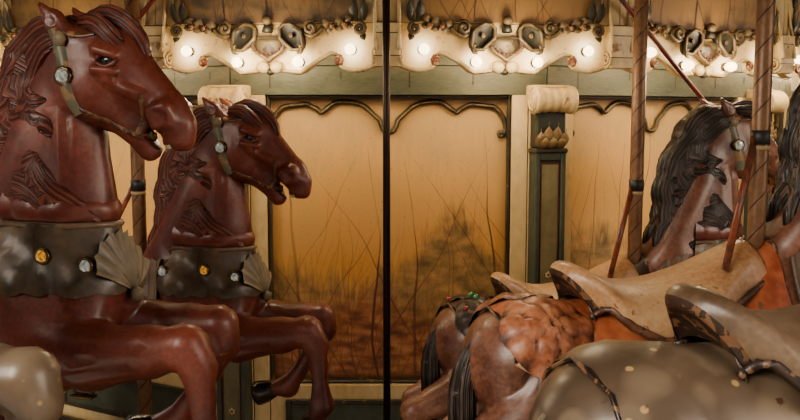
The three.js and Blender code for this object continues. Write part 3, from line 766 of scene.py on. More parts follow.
# The horse's forms at scale 1: x runs forward, and z is the height above the deck. A part has two ends, a
# radius at each, then its squeeze across, its blend, and whether it is cut away.
def trunk_parts():
    spine = [
        part((-0.44, 0, 0.822), (-0.05, 0, 0.828), 0.138, 0.143, 1.02),
        part((-0.05, 0, 0.828), (0.22, 0, 0.872), 0.143, 0.165, 0.92),
        part((-0.58, 0, 0.828), (-0.63, 0, 0.830), 0.140, 0.140, 0.95, 0.05),
        part((0.28, 0, 0.92), (0.365, 0, 1.000), 0.150, 0.112, 0.88, 0.05),
        part((-0.06, 0, 0.93), (0.15, 0, 1.05), 0.085, 0.105, 0.80, 0.06),
        part((0.24, 0, 1.00), (0.275, 0, 1.20), 0.190, 0.150, 0.50, 0.06),
        part((0.275, 0, 1.20), (0.285, 0, 1.38), 0.150, 0.106, 0.54, 0.05),
        part((0.285, 0, 1.38), (0.335, 0, 1.520), 0.106, 0.078, 0.62, 0.04),
    ]
    muscle = both_sides([
        part((0.20, 0.075, 1.02), (0.33, 0.085, 0.88), 0.080, 0.078, 0.8, 0.03),
        part((0.395, 0.050, 0.985), (0.370, 0.060, 0.880), 0.072, 0.078, 0.9, 0.03),
        part((-0.63, 0.060, 0.850), (-0.57, 0.070, 0.770), 0.102, 0.098, 0.85, 0.03),
        part((0.10, 0.050, 1.10), (0.24, 0.050, 1.34), 0.040, 0.030, 0.8, 0.05),
        part((0.33, 0.055, 1.06), (0.36, 0.045, 1.36), 0.035, 0.026, 0.8, 0.04),
        part((0.375, 0.000, 1.06), (0.385, 0.000, 1.34), 0.040, 0.030, 0.8, 0.03),
        part((0.330, 0.092, 1.230), (0.318, 0.070, 1.400), 0.010, 0.008, 1.0, 0.020, True),
        part((0.372, 0.078, 1.240), (0.362, 0.058, 1.400), 0.008, 0.006, 1.0, 0.018, True),
        part((-0.52, 0.150, 0.800), (-0.60, 0.150, 0.700), 0.012, 0.008, 1.0, 0.020, True),
        part((-0.66, 0.140, 0.860), (-0.70, 0.118, 0.780), 0.012, 0.008, 1.0, 0.020, True),
    ])
    return spine + muscle


def head_parts():
    skull = [
        part((0.355, 0, 1.550), (0.470, 0, 1.538), 0.062, 0.060, 0.88, 0.03),
        part((0.470, 0, 1.500), (0.600, 0, 1.410), 0.086, 0.046, 0.62, 0.03),
        part((0.600, 0, 1.396), (0.630, 0, 1.374), 0.047, 0.038, 0.82, 0.02),
        part((0.605, 0, 1.348), (0.638, 0, 1.340), 0.034, 0.024, 0.95, 0.016),
        part((0.405, 0, 1.430), (0.500, 0, 1.375), 0.052, 0.036, 0.80, 0.02),
        part((0.500, 0, 1.375), (0.546, 0, 1.322), 0.034, 0.030, 0.90, 0.016),
        part((0.360, 0, 1.500), (0.420, 0, 1.460), 0.085, 0.080, 0.66, 0.03),
    ]
    sides = both_sides([
        part((0.398, 0.046, 1.462), (0.420, 0.044, 1.440), 0.062, 0.054, 0.42, 0.018),
        part((0.590, 0.026, 1.400), (0.622, 0.027, 1.386), 0.025, 0.022, 1.0, 0.012),
        part((0.470, 0.052, 1.482), (0.580, 0.026, 1.418), 0.015, 0.010, 1.0, 0.014),
        part((0.452, 0.044, 1.548), (0.505, 0.036, 1.540), 0.017, 0.012, 1.0, 0.012),
        part((0.446, 0.052, 1.498), (0.498, 0.046, 1.500), 0.010, 0.008, 1.0, 0.008),
        part((0.362, 0.040, 1.580), (0.335, 0.052, 1.612), 0.022, 0.025, 0.8, 0.012),
        part((0.335, 0.052, 1.612), (0.302, 0.058, 1.650), 0.025, 0.006, 0.8, 0.010),
        part((0.340, 0.074, 1.612), (0.318, 0.074, 1.638), 0.013, 0.005, 0.9, 0.006, True),
        part((0.612, 0.036, 1.410), (0.586, 0.040, 1.404), 0.024, 0.018, 1.0, 0.010),
        part((0.590, 0.038, 1.398), (0.592, 0.042, 1.378), 0.016, 0.014, 1.0, 0.008),
        part((0.618, 0.062, 1.394), (0.600, 0.062, 1.398), 0.016, 0.013, 1.0, 0.005, True),
        part((0.472, 0.066, 1.520), (0.478, 0.065, 1.519), 0.022, 0.021, 1.0, 0.006, True),
        part((0.530, 0.050, 1.392), (0.560, 0.044, 1.372), 0.006, 0.006, 1.0, 0.006, True),
        part((0.500, 0.068, 1.478), (0.572, 0.046, 1.424), 0.007, 0.005, 1.0, 0.008, True),
        part((0.440, 0.078, 1.470), (0.520, 0.062, 1.410), 0.007, 0.005, 1.0, 0.008, True),
        part((0.520, 0.048, 1.455), (0.560, 0.036, 1.440), 0.012, 0.010, 1.0, 0.010),
        part((0.452, 0.062, 1.545), (0.500, 0.056, 1.530), 0.011, 0.010, 1.0, 0.008),
        part((0.448, 0.066, 1.500), (0.500, 0.058, 1.494), 0.010, 0.009, 1.0, 0.008),
    ])
    mouth = [
        part((0.560, -0.06, 1.356), (0.560, 0.06, 1.356), 0.015, 0.015, 1.0, 0.006, True),
        part((0.580, -0.06, 1.340), (0.580, 0.06, 1.340), 0.019, 0.019, 1.0, 0.006, True),
        part((0.598, -0.06, 1.310), (0.598, 0.06, 1.310), 0.019, 0.019, 1.0, 0.006, True),
        part((0.610, -0.06, 1.270), (0.610, 0.06, 1.270), 0.028, 0.028, 1.0, 0.006, True),
    ]
    return skull + sides + mouth


def leg(side, points, radii):
    return chain([(x, side * y, z) for x, y, z in points], radii, blend=0.02)


def leg_parts():
    fore = [
        *leg(-1, [(0.28, 0.080, 0.870), (0.44, 0.094, 0.848), (0.600, 0.100, 0.874), (0.690, 0.100, 0.892)],
             [0.090, 0.076, 0.056, 0.046]),
        *leg(-1, [(0.694, 0.100, 0.896), (0.722, 0.100, 0.850), (0.730, 0.100, 0.780), (0.738, 0.100, 0.690),
                  (0.740, 0.100, 0.652), (0.710, 0.100, 0.596)],
             [0.047, 0.038, 0.028, 0.026, 0.036, 0.028]),
        *leg(1, [(0.30, 0.080, 0.880), (0.46, 0.094, 0.868), (0.580, 0.100, 0.884), (0.652, 0.100, 0.892)],
             [0.090, 0.072, 0.054, 0.045]),
        *leg(1, [(0.656, 0.100, 0.894), (0.668, 0.100, 0.850), (0.628, 0.100, 0.780), (0.560, 0.100, 0.680),
                 (0.524, 0.100, 0.634), (0.470, 0.100, 0.622)],
             [0.046, 0.037, 0.028, 0.026, 0.036, 0.028]),
    ]
    hind = [
        *leg(-1,
             [(-0.560, 0.072, 0.780), (-0.660, 0.090, 0.715), (-0.780, 0.100, 0.672), (-0.862, 0.100, 0.645)],
             [0.108, 0.086, 0.052, 0.042]),
        *leg(-1,
             [(-0.870, 0.100, 0.640), (-0.852, 0.100, 0.580), (-0.812, 0.100, 0.470), (-0.800, 0.100, 0.428),
                  (-0.822, 0.100, 0.372)], [0.043, 0.031, 0.027, 0.036, 0.028]),
        *leg(1,
             [(-0.520, 0.072, 0.780), (-0.610, 0.090, 0.700), (-0.720, 0.100, 0.645), (-0.790, 0.100, 0.618)],
             [0.108, 0.086, 0.052, 0.042]),
        *leg(1,
             [(-0.798, 0.100, 0.612), (-0.782, 0.100, 0.550), (-0.742, 0.100, 0.445), (-0.730, 0.100, 0.404),
                 (-0.752, 0.100, 0.352)], [0.043, 0.031, 0.027, 0.036, 0.028]),
    ]
    grooves = both_sides([
        part((0.400, 0.178, 0.888), (0.620, 0.154, 0.898), 0.010, 0.006, 1.0, 0.012, True),
        part((0.380, 0.182, 0.850), (0.600, 0.158, 0.872), 0.010, 0.006, 1.0, 0.012, True),
        part((0.400, 0.168, 0.812), (0.580, 0.150, 0.846), 0.009, 0.006, 1.0, 0.012, True),
        part((-0.700, 0.168, 0.712), (-0.840, 0.142, 0.658), 0.008, 0.005, 1.0, 0.012, True),
    ])
    return fore + hind + grooves


MANE_LOCKS = [
    [(0.350, 1.598), (0.300, 1.598), (0.240, 1.568), (0.200, 1.520), (0.188, 1.466), (0.204, 1.430),
     (0.250, 1.418)],
    [(0.352, 1.574), (0.306, 1.560), (0.262, 1.524), (0.238, 1.480), (0.240, 1.446), (0.272, 1.428),
     (0.312, 1.432)],
    [(0.220, 1.520), (0.172, 1.476), (0.140, 1.430), (0.134, 1.376), (0.166, 1.340), (0.222, 1.346),
     (0.282, 1.356)],
    [(0.205, 1.460), (0.180, 1.424), (0.180, 1.386), (0.212, 1.370), (0.262, 1.382), (0.306, 1.372),
     (0.338, 1.340)],
    [(0.170, 1.420), (0.128, 1.372), (0.112, 1.318), (0.132, 1.272), (0.182, 1.262), (0.236, 1.290),
     (0.290, 1.312)],
    [(0.150, 1.330), (0.120, 1.280), (0.112, 1.222), (0.150, 1.186), (0.214, 1.194), (0.276, 1.180),
     (0.330, 1.158)],
    [(0.236, 1.330), (0.272, 1.286), (0.300, 1.246), (0.334, 1.214), (0.374, 1.190), (0.410, 1.160),
     (0.430, 1.140)],
    [(0.180, 1.256), (0.222, 1.246), (0.262, 1.236), (0.300, 1.212), (0.330, 1.180), (0.352, 1.158),
     (0.380, 1.150)],
    [(0.140, 1.230), (0.104, 1.196), (0.086, 1.150), (0.100, 1.116), (0.140, 1.112), (0.186, 1.132),
     (0.220, 1.150)],
]
MANE_RADII = [0.010, 0.019, 0.023, 0.024, 0.020, 0.015, 0.004]
NECK = [(1.00, 0.240, 0.190, 0.50), (1.20, 0.275, 0.150, 0.52), (1.38, 0.285, 0.106, 0.54),
        (1.52, 0.335, 0.090, 0.62),
        (1.62, 0.345, 0.070, 0.62)]  # height, middle, radius and squeeze of the neck


def neck_side(x, z):
    """How far the side of the neck stands from the middle plane."""
    heights, *rest = np.array(NECK).T
    middle, radius, squeeze = (np.interp(z, heights, values) for values in rest)
    return radius * squeeze * math.sqrt(max(0.10, 1 - ((x - middle) / radius) ** 2))


FORELOCK = [
    [(0.385, 0.000, 1.615), (0.450, -0.008, 1.628), (0.510, -0.012, 1.600), (0.545, -0.010, 1.552),
     (0.550, -0.004, 1.505)],
    [(0.385, 0.022, 1.610), (0.445, 0.034, 1.614), (0.498, 0.036, 1.580), (0.522, 0.030, 1.535),
     (0.518, 0.030, 1.500)],
    [(0.385, -0.022, 1.610), (0.440, -0.040, 1.606), (0.485, -0.044, 1.570), (0.505, -0.038, 1.545),
     (0.530, -0.030, 1.530)],
]
FORELOCK_RADII = [0.015, 0.020, 0.019, 0.013, 0.004]


def mane_parts():
    parts = []
    for lock in MANE_LOCKS:
        path = [(x, neck_side(x, z) + 0.006, z) for x, z in lock]
        parts += both_sides(lock_parts(path, MANE_RADII, strands=4, count=18, spread=0.95))
    crest = [(0.345, 0, 1.600), (0.275, 0, 1.590), (0.212, 0, 1.530), (0.184, 0, 1.440), (0.160, 0, 1.330),
             (0.140, 0, 1.220), (0.112, 0, 1.130)]
    parts += chain(crest, [0.030, 0.034, 0.042, 0.046, 0.046, 0.044, 0.030], blend=0.03)
    for lock in FORELOCK:
        parts += lock_parts(lock, FORELOCK_RADII)
    return parts


def mane_lines():
    """The middle lines of the locks on both sides of the neck, and of the forelock."""
    sides = [[(x, sign * neck_side(x, z), z) for x, z in lock] for lock in MANE_LOCKS for sign in (-1, 1)]
    return [fine_path(line, 24) for line in sides + FORELOCK]


def combed(s, lines):
    """Hair whose texture runs along its locks: X is each point's place across the nearest one."""
    across, near = np.zeros(len(s["co"])), np.full(len(s["co"]), 9.0)
    for line in lines:
        along = np.gradient(line, axis=0)
        side = np.cross(along, (0, 1, 0))
        side /= np.maximum(np.linalg.norm(side, axis=1, keepdims=True), 1e-9)
        away = s["co"][:, None] - line
        far = np.linalg.norm(away, axis=-1)
        nearest = far.argmin(1)
        rows = np.arange(len(far))
        closer = far[rows, nearest] < near
        offset = (away[rows, nearest] * side[nearest]).sum(-1)
        across[closer], near[closer] = offset[closer], far[rows, nearest][closer]
    return dict(s, local=np.stack([across, s["co"][:, 1], s["co"][:, 2]], -1))


TAIL_LOCKS = [
    [(-0.715, 0.000, 0.880), (-0.752, 0.000, 0.872), (-0.776, 0.000, 0.820), (-0.784, 0.006, 0.750),
     (-0.780, 0.012, 0.670), (-0.790, 0.008, 0.600), (-0.786, 0.000, 0.520)],
    [(-0.715, 0.010, 0.876), (-0.748, 0.014, 0.860), (-0.766, 0.020, 0.800), (-0.770, 0.024, 0.730),
     (-0.766, 0.020, 0.660), (-0.776, 0.016, 0.600), (-0.792, 0.010, 0.535)],
    [(-0.715, -0.010, 0.876), (-0.748, -0.014, 0.860), (-0.768, -0.020, 0.804), (-0.772, -0.024, 0.740),
     (-0.770, -0.022, 0.670), (-0.764, -0.016, 0.600), (-0.774, -0.010, 0.528)],
]
TAIL_RADII = [0.012, 0.015, 0.018, 0.021, 0.020, 0.015, 0.004]


def tail_parts():
    parts = []
    for lock in TAIL_LOCKS:
        parts += lock_parts(lock, TAIL_RADII, count=14)
    return parts


# The horse: carved body, head, hair, harness and pole, at scale 1 over its pole, z above the deck
COLLAR_LOW, COLLAR_HIGH = 0.985, 1.150


def body_form():
    return Form(trunk_parts() + leg_parts(), (-0.95, -0.22, 0.29), (0.82, 0.22, 1.62), BODY_STEP)


def head_form():
    neck = [p for p in trunk_parts() if min(p["a"][2], p["b"][2]) > 1.15]
    return Form(neck + head_parts(), (0.18, -0.15, 1.285), (0.70, 0.15, 1.70), HEAD_STEP)


def carved(name, form, faces, rounds):
    co, triangles = form.surface(faces, rounds)
    return shape(co, [triangles], name)


def draped(form, starts, directions, thick, material, around=False):
    """A cover that lies on the form: one point to a direction, lifted by its thickness."""
    skin = form.skin(starts, directions)
    out = directions / np.linalg.norm(directions, axis=-1, keepdims=True)
    return net(skin + out * np.broadcast_to(thick, skin.shape[:-1])[..., None], material, around=around)


def round_trunk(form, xs, angles, centre_z, thick, material):
    """A cover round the trunk. Angle 0 is straight up, and 90 is to the near side."""
    a = np.radians(np.broadcast_to(angles, (len(xs), np.shape(angles)[-1])))
    ways = np.stack([np.zeros_like(a), -np.sin(a), np.cos(a)], -1)
    xs = np.asarray(xs, float)
    starts = np.stack([xs, 0 * xs, np.broadcast_to(centre_z, xs.shape)], -1)
    return draped(form, np.broadcast_to(starts[:, None], ways.shape), ways, thick, material)


EDGE_TURN, EDGE_PINCH = 0.012, 0.86  # how far a cover's edge turns in, and how it narrows there


def rim_under(rows, columns, s):
    """The turned-in edge of a cover: its outer rows repeated a little inside the form."""
    grid = s["co"].reshape(rows, columns, 3)
    middle = grid.mean((0, 1))
    edge = np.concatenate([grid[0], grid[1:, -1], grid[-1, -2::-1], grid[-2:0:-1, 0]])
    inner = edge + (middle - edge) / np.linalg.norm(middle - edge, axis=1, keepdims=True) * EDGE_TURN
    inner[:, 1] *= EDGE_PINCH
    return net(np.stack([edge, inner]), s["material"], around=True)


STRAP_RISE = np.array([-0.9, 0.9, 1.0, 0.9, -0.9])  # height across a strap, as shares of its thickness


def flank_strap(form, path, half, thick, material, side=-1):
    """A strap that lies on the side of a form, along a path of x, z points."""
    path = fine_path(path, 3 * len(path))
    along = np.gradient(path, axis=0)
    along /= np.linalg.norm(along, axis=1, keepdims=True)
    across = np.stack([-along[:, 1], along[:, 0]], -1)
    share = np.linspace(-1, 1, len(STRAP_RISE))
    flat = path[:, None] + across[:, None] * share[:, None] * half
    starts = np.stack([flat[..., 0], 0 * flat[..., 0], flat[..., 1]], -1)
    ways = np.broadcast_to(np.array([0.0, side, 0.0]), starts.shape)
    return draped(form, starts, ways, (thick * STRAP_RISE)[None, :], material)


def on_flank(form, x, z, side=-1, lift=0.0):
    at = form.skin(np.array([x, 0, z], float), np.array([0.0, side, 0.0]))
    return at + [0, side * lift, 0]


def gem(at, radius, material, side=-1):
    """A cut stone in its setting."""
    profile = [(radius, 0.1 * radius), (0.72 * radius, 0.55 * radius), (0.02 * radius, 0.72 * radius)]
    bezel = [(1.35 * radius, -0.4 * radius), (1.30 * radius, 0.15 * radius), (1.0 * radius, 0.15 * radius)]
    shapes = [lathe(profile, 7, material, smooth=False), lathe(bezel, 8, "bezel")]
    return [changed(facing(s), np.diag([1, -side, 1]), at) for s in shapes]


def rosette(at, radius, petals, material, centre):
    """A carved flower of round petals with a boss."""
    shapes = []
    for k in range(petals):
        a = 2 * math.pi * k / petals
        petal = ball((0, 0, 0), 1, material, 10, (radius * 0.36, radius * 0.22, radius * 0.42))
        turn = [[math.cos(a), 0, math.sin(a)], [0, 1, 0], [-math.sin(a), 0, math.cos(a)]]
        lift = np.array([math.sin(a) * radius * 0.62, 0, math.cos(a) * radius * 0.62])
        shapes.append(placed(changed(petal, turn), lift + at))
    shapes.append(ball(at - np.array([0, radius * 0.16, 0]), 1, centre, 10,
                       (radius * 0.3, radius * 0.22, radius * 0.3)))
    return shapes


SEAT_LINE = [(-0.020, 1.010), (-0.022, 1.062), (-0.045, 1.093), (-0.090, 1.080), (-0.170, 1.044),
             (-0.270, 1.014),
             (-0.360, 1.006), (-0.432, 1.020), (-0.484, 1.046), (-0.516, 1.060), (-0.542, 1.056),
             (-0.553, 1.040),
             (-0.542, 1.026), (-0.520, 1.012), (-0.490, 0.975)]
SEAT_HALF = [0.062, 0.068, 0.070, 0.086, 0.120, 0.146, 0.158, 0.156, 0.140, 0.116, 0.094, 0.080, 0.076,
             0.080, 0.090]
SEAT_DROP = [0.060, 0.085, 0.095, 0.105, 0.110, 0.112, 0.112, 0.112, 0.105, 0.095, 0.090, 0.085, 0.075,
             0.065, 0.040]


def saddle(form):
    """A high cantle that rolls back, a dished seat and a pommel, with a thick piped edge."""
    steps = 30
    line = fine_path(SEAT_LINE, steps)
    place = np.linspace(0, len(SEAT_LINE) - 1, steps)
    half = np.interp(place, range(len(SEAT_HALF)), SEAT_HALF)
    drop = np.interp(place, range(len(SEAT_DROP)), SEAT_DROP)
    angle = np.radians(np.linspace(-90, 90, 11))
    lean = np.interp(place, [0, 3, 8, 11, 14], [0.02, 0.0, 0.03, 0.05, 0.0])
    points = np.stack([
        line[:, 0][:, None] + lean[:, None] * (1 - np.cos(angle)) * 1.6,
        half[:, None] * np.sin(angle),
        line[:, 1][:, None] - drop[:, None] * (1 - np.cos(angle)) ** 1.2,
    ], -1)
    # the back and underside of the rolled cantle in dark leather: painted shade under the roll
    shapes = [net(points[:23], "saddle_leather"), net(points[22:], "leather_dark")]
    for edge in (points[1:29, 0], points[1:29, -1]):
        shapes.append(tube(edge, [0.005, 0.010, 0.011, 0.010, 0.006], 5, "saddle_edge"))
    for side in (-1, 1):
        flap = [(-0.30, 0.95), (-0.24, 0.86), (-0.20, 0.78)]
        shapes.append(flank_strap(form, flap, 0.095, 0.010, "saddle_leather", side))
        leather = [(-0.165, 0.93), (-0.160, 0.84), (-0.150, 0.74), (-0.140, 0.66)]
        shapes.append(flank_strap(form, leather[:3], 0.014, 0.018, "strap_leather", side))
        shapes += stirrup(side)
    return shapes


def stirrup(side):
    """A loop of metal with a flat tread."""
    across, tread = side * 0.152, 0.612
    t = np.linspace(0, 2 * math.pi, 13)[:-1]
    loop = np.stack([-0.148 + 0.046 * np.sin(t), np.full(12, across), 0.655 + 0.062 * np.cos(t)], -1)
    loop[:, 2] = np.maximum(loop[:, 2], tread)
    made = tube(np.vstack([loop, loop[:1]]), [0.007], 4, "bezel")
    return [made,
            block((-0.192, across - 0.022, tread - 0.009), (-0.104, across + 0.022, tread + 0.002), "bezel")]


BLANKET_ROWS, BLANKET_COLUMNS = 21, 23


def blanket(form):
    """The cloth under the saddle, with a fringed lower edge."""
    xs = np.linspace(-0.70, 0.02, BLANKET_ROWS)
    angles = np.linspace(-118, 118, BLANKET_COLUMNS)
    angles = angles[None] * np.interp(xs, [-0.70, -0.52, 0.02], [0.62, 1.0, 1.0])[:, None]
    wave = 0.003 * np.sin(xs[:, None] * 30) * (np.abs(angles) / 118) ** 2
    centre = np.interp(xs, [-0.6, -0.05, 0.02], [0.83, 0.83, 0.86])
    top = round_trunk(form, xs, angles, centre, 0.010 + wave, "blanket")
    shapes = [top, rim_under(BLANKET_ROWS, BLANKET_COLUMNS, top)]
    grid = top["co"].reshape(BLANKET_ROWS, BLANKET_COLUMNS, 3)
    for column in (0, -1):
        edge = grid[:, column]
        shapes.append(tube(edge, [0.007], 5, "blanket_edge"))
        for point in edge[4::2]:
            shapes.append(tassel(point, 1 if column else -1))
    for row in (0, -1):
        shapes.append(tube(grid[row], [0.005], 4, "leather_dark", up=(1, 0, 0)))
    return shapes


TRUNK_AXIS = 0.83  # height of the trunk's middle line
RUMP_RADIUS = 0.14


def rump_relief(form, side, middle, tilt, reach, relief, material, rings, columns):
    """A round carving on the rump. tilt is its place round the trunk from straight up, relief its height."""
    radius = np.linspace(0.002, reach, rings)[:, None]
    angle = np.linspace(0, 2 * math.pi, columns, endpoint=False)[None]
    u, v = radius * np.cos(angle), radius * np.sin(angle)
    turn = math.radians(tilt) - v / RUMP_RADIUS
    starts = np.stack([middle + u, 0 * u, np.full(u.shape, TRUNK_AXIS)], -1)
    ways = np.stack([0 * u, side * np.sin(turn), np.cos(turn)], -1)
    height = relief(u, v)
    made = draped(form, starts, ways, 0.011 + height, material, around=True)
    # darker towards the low parts of the relief: painted shade between the petals
    return dict(made, dirt=np.clip(0.9 - height.ravel() / 0.008, 0, 0.9))


def dome(u, v, size, rise):
    return rise * np.sqrt(np.clip(1 - (u * u + v * v) / size ** 2, 0, 1))


def flower(u, v):
    """Two rings of round petals about a boss with a hole."""
    height = dome(u, v, 0.026, 0.017) - dome(u, v, 0.009, 0.014)
    for ring, petals, size, rise in ((0.046, 6, 0.026, 0.013), (0.084, 9, 0.029, 0.011)):
        for k in range(petals):
            a = 2 * math.pi * k / petals + ring
            height = np.maximum(height, dome(u - ring * math.cos(a), v - ring * math.sin(a), size, rise))
    return height


def lobe(u, v):
    return dome(u, v, 0.070, 0.014) - 0.004 * (np.hypot(u, v) > 0.058)


def rump_rosette(form):
    """A large flower on each side of the rump, with a lobe of leather under it."""
    shapes = []
    for side in (-1, 1):
        shapes.append(rump_relief(form, side, -0.612, 46, 0.108, flower, "rosette_leather", 13, 54))
        shapes.append(rump_relief(form, side, -0.590, 98, 0.070, lobe, "lobe_leather", 6, 18))
    return shapes


def rump_jewels(form):
    """Coloured stones over the rump cover, for the horses that have them."""
    shapes = []
    for x, tilt, kind in ((-0.68, 30, "jewel_red"), (-0.66, 62, "jewel_green"), (-0.60, 80, "jewel_red"),
                          (-0.55, 24, "jewel_red"), (-0.50, 66, "jewel_green"), (-0.62, 8, "jewel_green")):
        for side in (-1, 1):
            way = np.array([0, side * math.sin(math.radians(tilt)), math.cos(math.radians(tilt))])
            place = form.skin(np.array([x, 0, TRUNK_AXIS]), way) + way * 0.020
            shapes.append(ball(place, 0.010, kind, 8))
    return shapes


def tassel(at, side):
    profile = [(0.002, 0.004), (0.011, -0.006), (0.008, -0.018), (0.014, -0.052)]
    return placed(lathe(profile, 5, "tassel"), at + np.array([0, side * 0.004, 0]))


def collar(form):
    """A broad breast band with a rolled upper edge, a lobed lower edge, jewels and a shell in front."""
    rows, columns, middle = 9, 43, 0.26
    angles = np.linspace(-128, 128, columns)
    a = np.radians(angles)
    ways = np.stack([np.cos(a), np.sin(a), np.zeros_like(a)], -1)
    lobes = np.abs(np.sin(np.radians(angles) * 7)) ** 0.6
    low = COLLAR_LOW + 0.016 * (1 - lobes)
    share = np.linspace(0, 1, rows)[:, None]
    height = low[None] + (COLLAR_HIGH - low)[None] * share
    starts = np.stack([np.full(height.shape, middle), np.zeros(height.shape), height], -1)
    ripple = np.cos(np.radians(angles * 9))[None] * np.sin(share * 3 * math.pi) ** 2
    bulge = 0.008 * np.exp(-((share - 0.18) / 0.16) ** 2)
    swell = 0.006 + bulge * lobes[None] + 0.006 * share + 0.004 * ripple
    main = draped(form, starts, np.broadcast_to(ways[None], starts.shape), swell, "collar")
    shapes = [main]
    grid = main["co"].reshape(rows, columns, 3)
    shapes.append(tube(grid[-1] - [0, 0, 0.006], [0.008], 6, "collar_roll", up=(0, 0, 1)))
    share = np.linspace(0, 1, 6)[:, None]
    slope = 0.012 * np.cos(np.radians(angles))[None]
    upper_z = 1.146 + 0.064 * share - slope * share
    starts = np.stack(np.broadcast_arrays(middle, 0.0, upper_z), -1)
    swell = 0.002 + 0.010 * np.sin(share * math.pi) ** 0.7 + 0.0015 * np.sin(np.radians(angles * 7))[None]
    shapes.append(draped(form, starts, np.broadcast_to(ways[None], starts.shape), swell, "band"))
    shapes += shell(form)
    for x, z, gem_kind in ((0.186, 1.068, "jewel_pale"), (0.453, 1.055, "jewel_pale"),
                           (0.320, 1.075, "jewel_amber")):
        for side in (-1, 1):
            way = np.array([(x - middle) * 0.6, side * 0.1, 0])
            at = form.skin(np.array([x - way[0], 0, z]), way) + [0, side * 0.012, 0]
            shapes += gem(at, 0.016, gem_kind, side)
    return shapes


def shell(form):
    """A ribbed shell on the breast."""
    u = np.linspace(0, 1, 5)[:, None]
    v = np.linspace(-1, 1, 33)[None]
    angle = v * math.radians(68)
    reach = 0.105 * u * (1 + 0.05 * np.cos(v * 8 * math.pi))
    y = reach * np.sin(angle)
    z = 0.985 + reach * np.cos(angle) * 1.35
    starts = np.stack(np.broadcast_arrays(0.30, 0.0, z), -1)
    x0 = form.skin(starts, np.stack(np.broadcast_arrays(0.2, y, 0.0), -1))
    ribs = 0.012 + 0.009 * np.abs(np.cos(v * 4 * math.pi)) * u
    points = np.stack(np.broadcast_arrays(x0[..., 0] + ribs, y, z), -1)
    return [net(points, "shell"), ball(points[0, 16] + [0.01, 0, -0.006], 0.020, "shell", 6)]


def sash(form):
    """A gathered sash round the trunk behind the shoulders."""
    xs = np.linspace(0.040, 0.150, 13)
    angles = np.linspace(28, 332, 19)
    fold = 0.0367
    uneven = 1 + 0.3 * np.sin(np.radians(angles * 5))
    folds = 0.010 + 0.007 * np.cos(xs * 2 * math.pi / fold)[:, None] * uneven[None]
    return [round_trunk(form, xs, angles, 0.92, folds, "sash")]


# A strap's path in side view, half width, thickness and material
BRIDLE = [
    ([(0.338, 1.590), (0.362, 1.520), (0.378, 1.450), (0.398, 1.396)], 0.022, 0.010, "cheek_strap"),
    ([(0.560, 1.445), (0.548, 1.400), (0.532, 1.352)], 0.009, 0.006, "bridle_strap"),
    ([(0.402, 1.412), (0.450, 1.388), (0.505, 1.362), (0.552, 1.345)], 0.010, 0.006, "bridle_strap"),
    ([(0.352, 1.585), (0.400, 1.578), (0.440, 1.583)], 0.011, 0.007, "bridle_strap"),
]


def bridle(form):
    shapes = []
    for side in (-1, 1):
        for path, half, thick, material in BRIDLE:
            shapes.append(flank_strap(form, path, half, thick, material, side))
        shapes += gem(on_flank(form, 0.371, 1.486, side, 0.010), 0.018, "jewel_pale", side)
        shapes.append(ball(on_flank(form, 0.552, 1.350, side, 0.002), 1, "bezel", 6, (0.015, 0.008, 0.015)))
        shapes.append(ball(on_flank(form, 0.356, 1.570, side, 0.006), 1, "cheek_strap", 8,
                           (0.020, 0.010, 0.020)))
    return shapes


EYE_LINE = [(-0.027, -0.002), (-0.018, 0.011), (0.002, 0.017), (0.019, 0.009), (0.027, -0.003)]


def eyes(form):
    shapes = []
    for side in (-1, 1):
        at = on_flank(form, 0.474, 1.519, side, 0.001)
        shapes.append(ball(at, 0.0190, "eye", 8, (1.15, 0.75, 0.95)))
        # a dark ball deep in each nostril: painted shade
        shapes.append(ball(on_flank(form, 0.608, 1.396, side, -0.006), 0.0115, "mouth_dark", 6,
                           (1.1, 0.7, 0.8)))
        for lid, sign in ((EYE_LINE, 1), (EYE_LINE, -0.8)):
            path = [at + [x, side * 0.010, sign * z] for x, z in lid]
            shapes.append(tube(fine_path(path, 7), [0.0035, 0.007, 0.007, 0.0035], 5, "coat"))
    return shapes


def teeth():
    shapes = []
    for k in range(4):
        angle = math.radians(-54 + 36 * k)
        x, y = 0.596 + 0.022 * math.cos(angle), 0.024 * math.sin(angle)
        shapes.append(block((x - 0.007, y - 0.006, 1.322), (x + 0.007, y + 0.006, 1.340), "teeth", 0.002))
    return shapes


HOOVES = [
    ((0.712, -0.100, 0.602), (0.672, -0.100, 0.548)), ((0.478, 0.100, 0.624), (0.404, 0.100, 0.596)),
    ((-0.822, -0.100, 0.376), (-0.852, -0.100, 0.318)), ((-0.752, 0.100, 0.356), (-0.782, 0.100, 0.300)),
]


def hooves():
    shapes = []
    for a, b in HOOVES:
        path = np.linspace(np.array(a), np.array(b), 4)
        shapes.append(tube(path, [0.028, 0.036, 0.042, 0.045], 10, "hoof"))
    return shapes


POLE_TURN = 0.170  # rise of the seam of the pole's tube in one turn
POLE_RADIUS = 0.0244


def pole(low, high):
    """A brass tube over a rod. Its spiral seam is in the material."""
    return [tube([(0, 0, low), (0, 0, high)], [POLE_RADIUS], 14, "pole_brass")]


def tape(low, high, material):
    return lathe([(0.020, low), (0.0262, low + 0.001), (0.0266, high - 0.001), (0.020, high)], 14, material)


def safety_strap(scale, lift):
    """A leather strap from the pole's tape down to the cantle."""
    ends = [(-0.018, -0.004, 1.345), (-0.060, -0.030, 1.240), (-0.105, -0.056, 1.130),
            (-0.150, -0.085, 1.035)]
    path = fine_path(ends, 8) * scale + [0, 0, lift]
    return tube(path, [0.0030 * scale], 6, "safety_leather", flat=3.8)


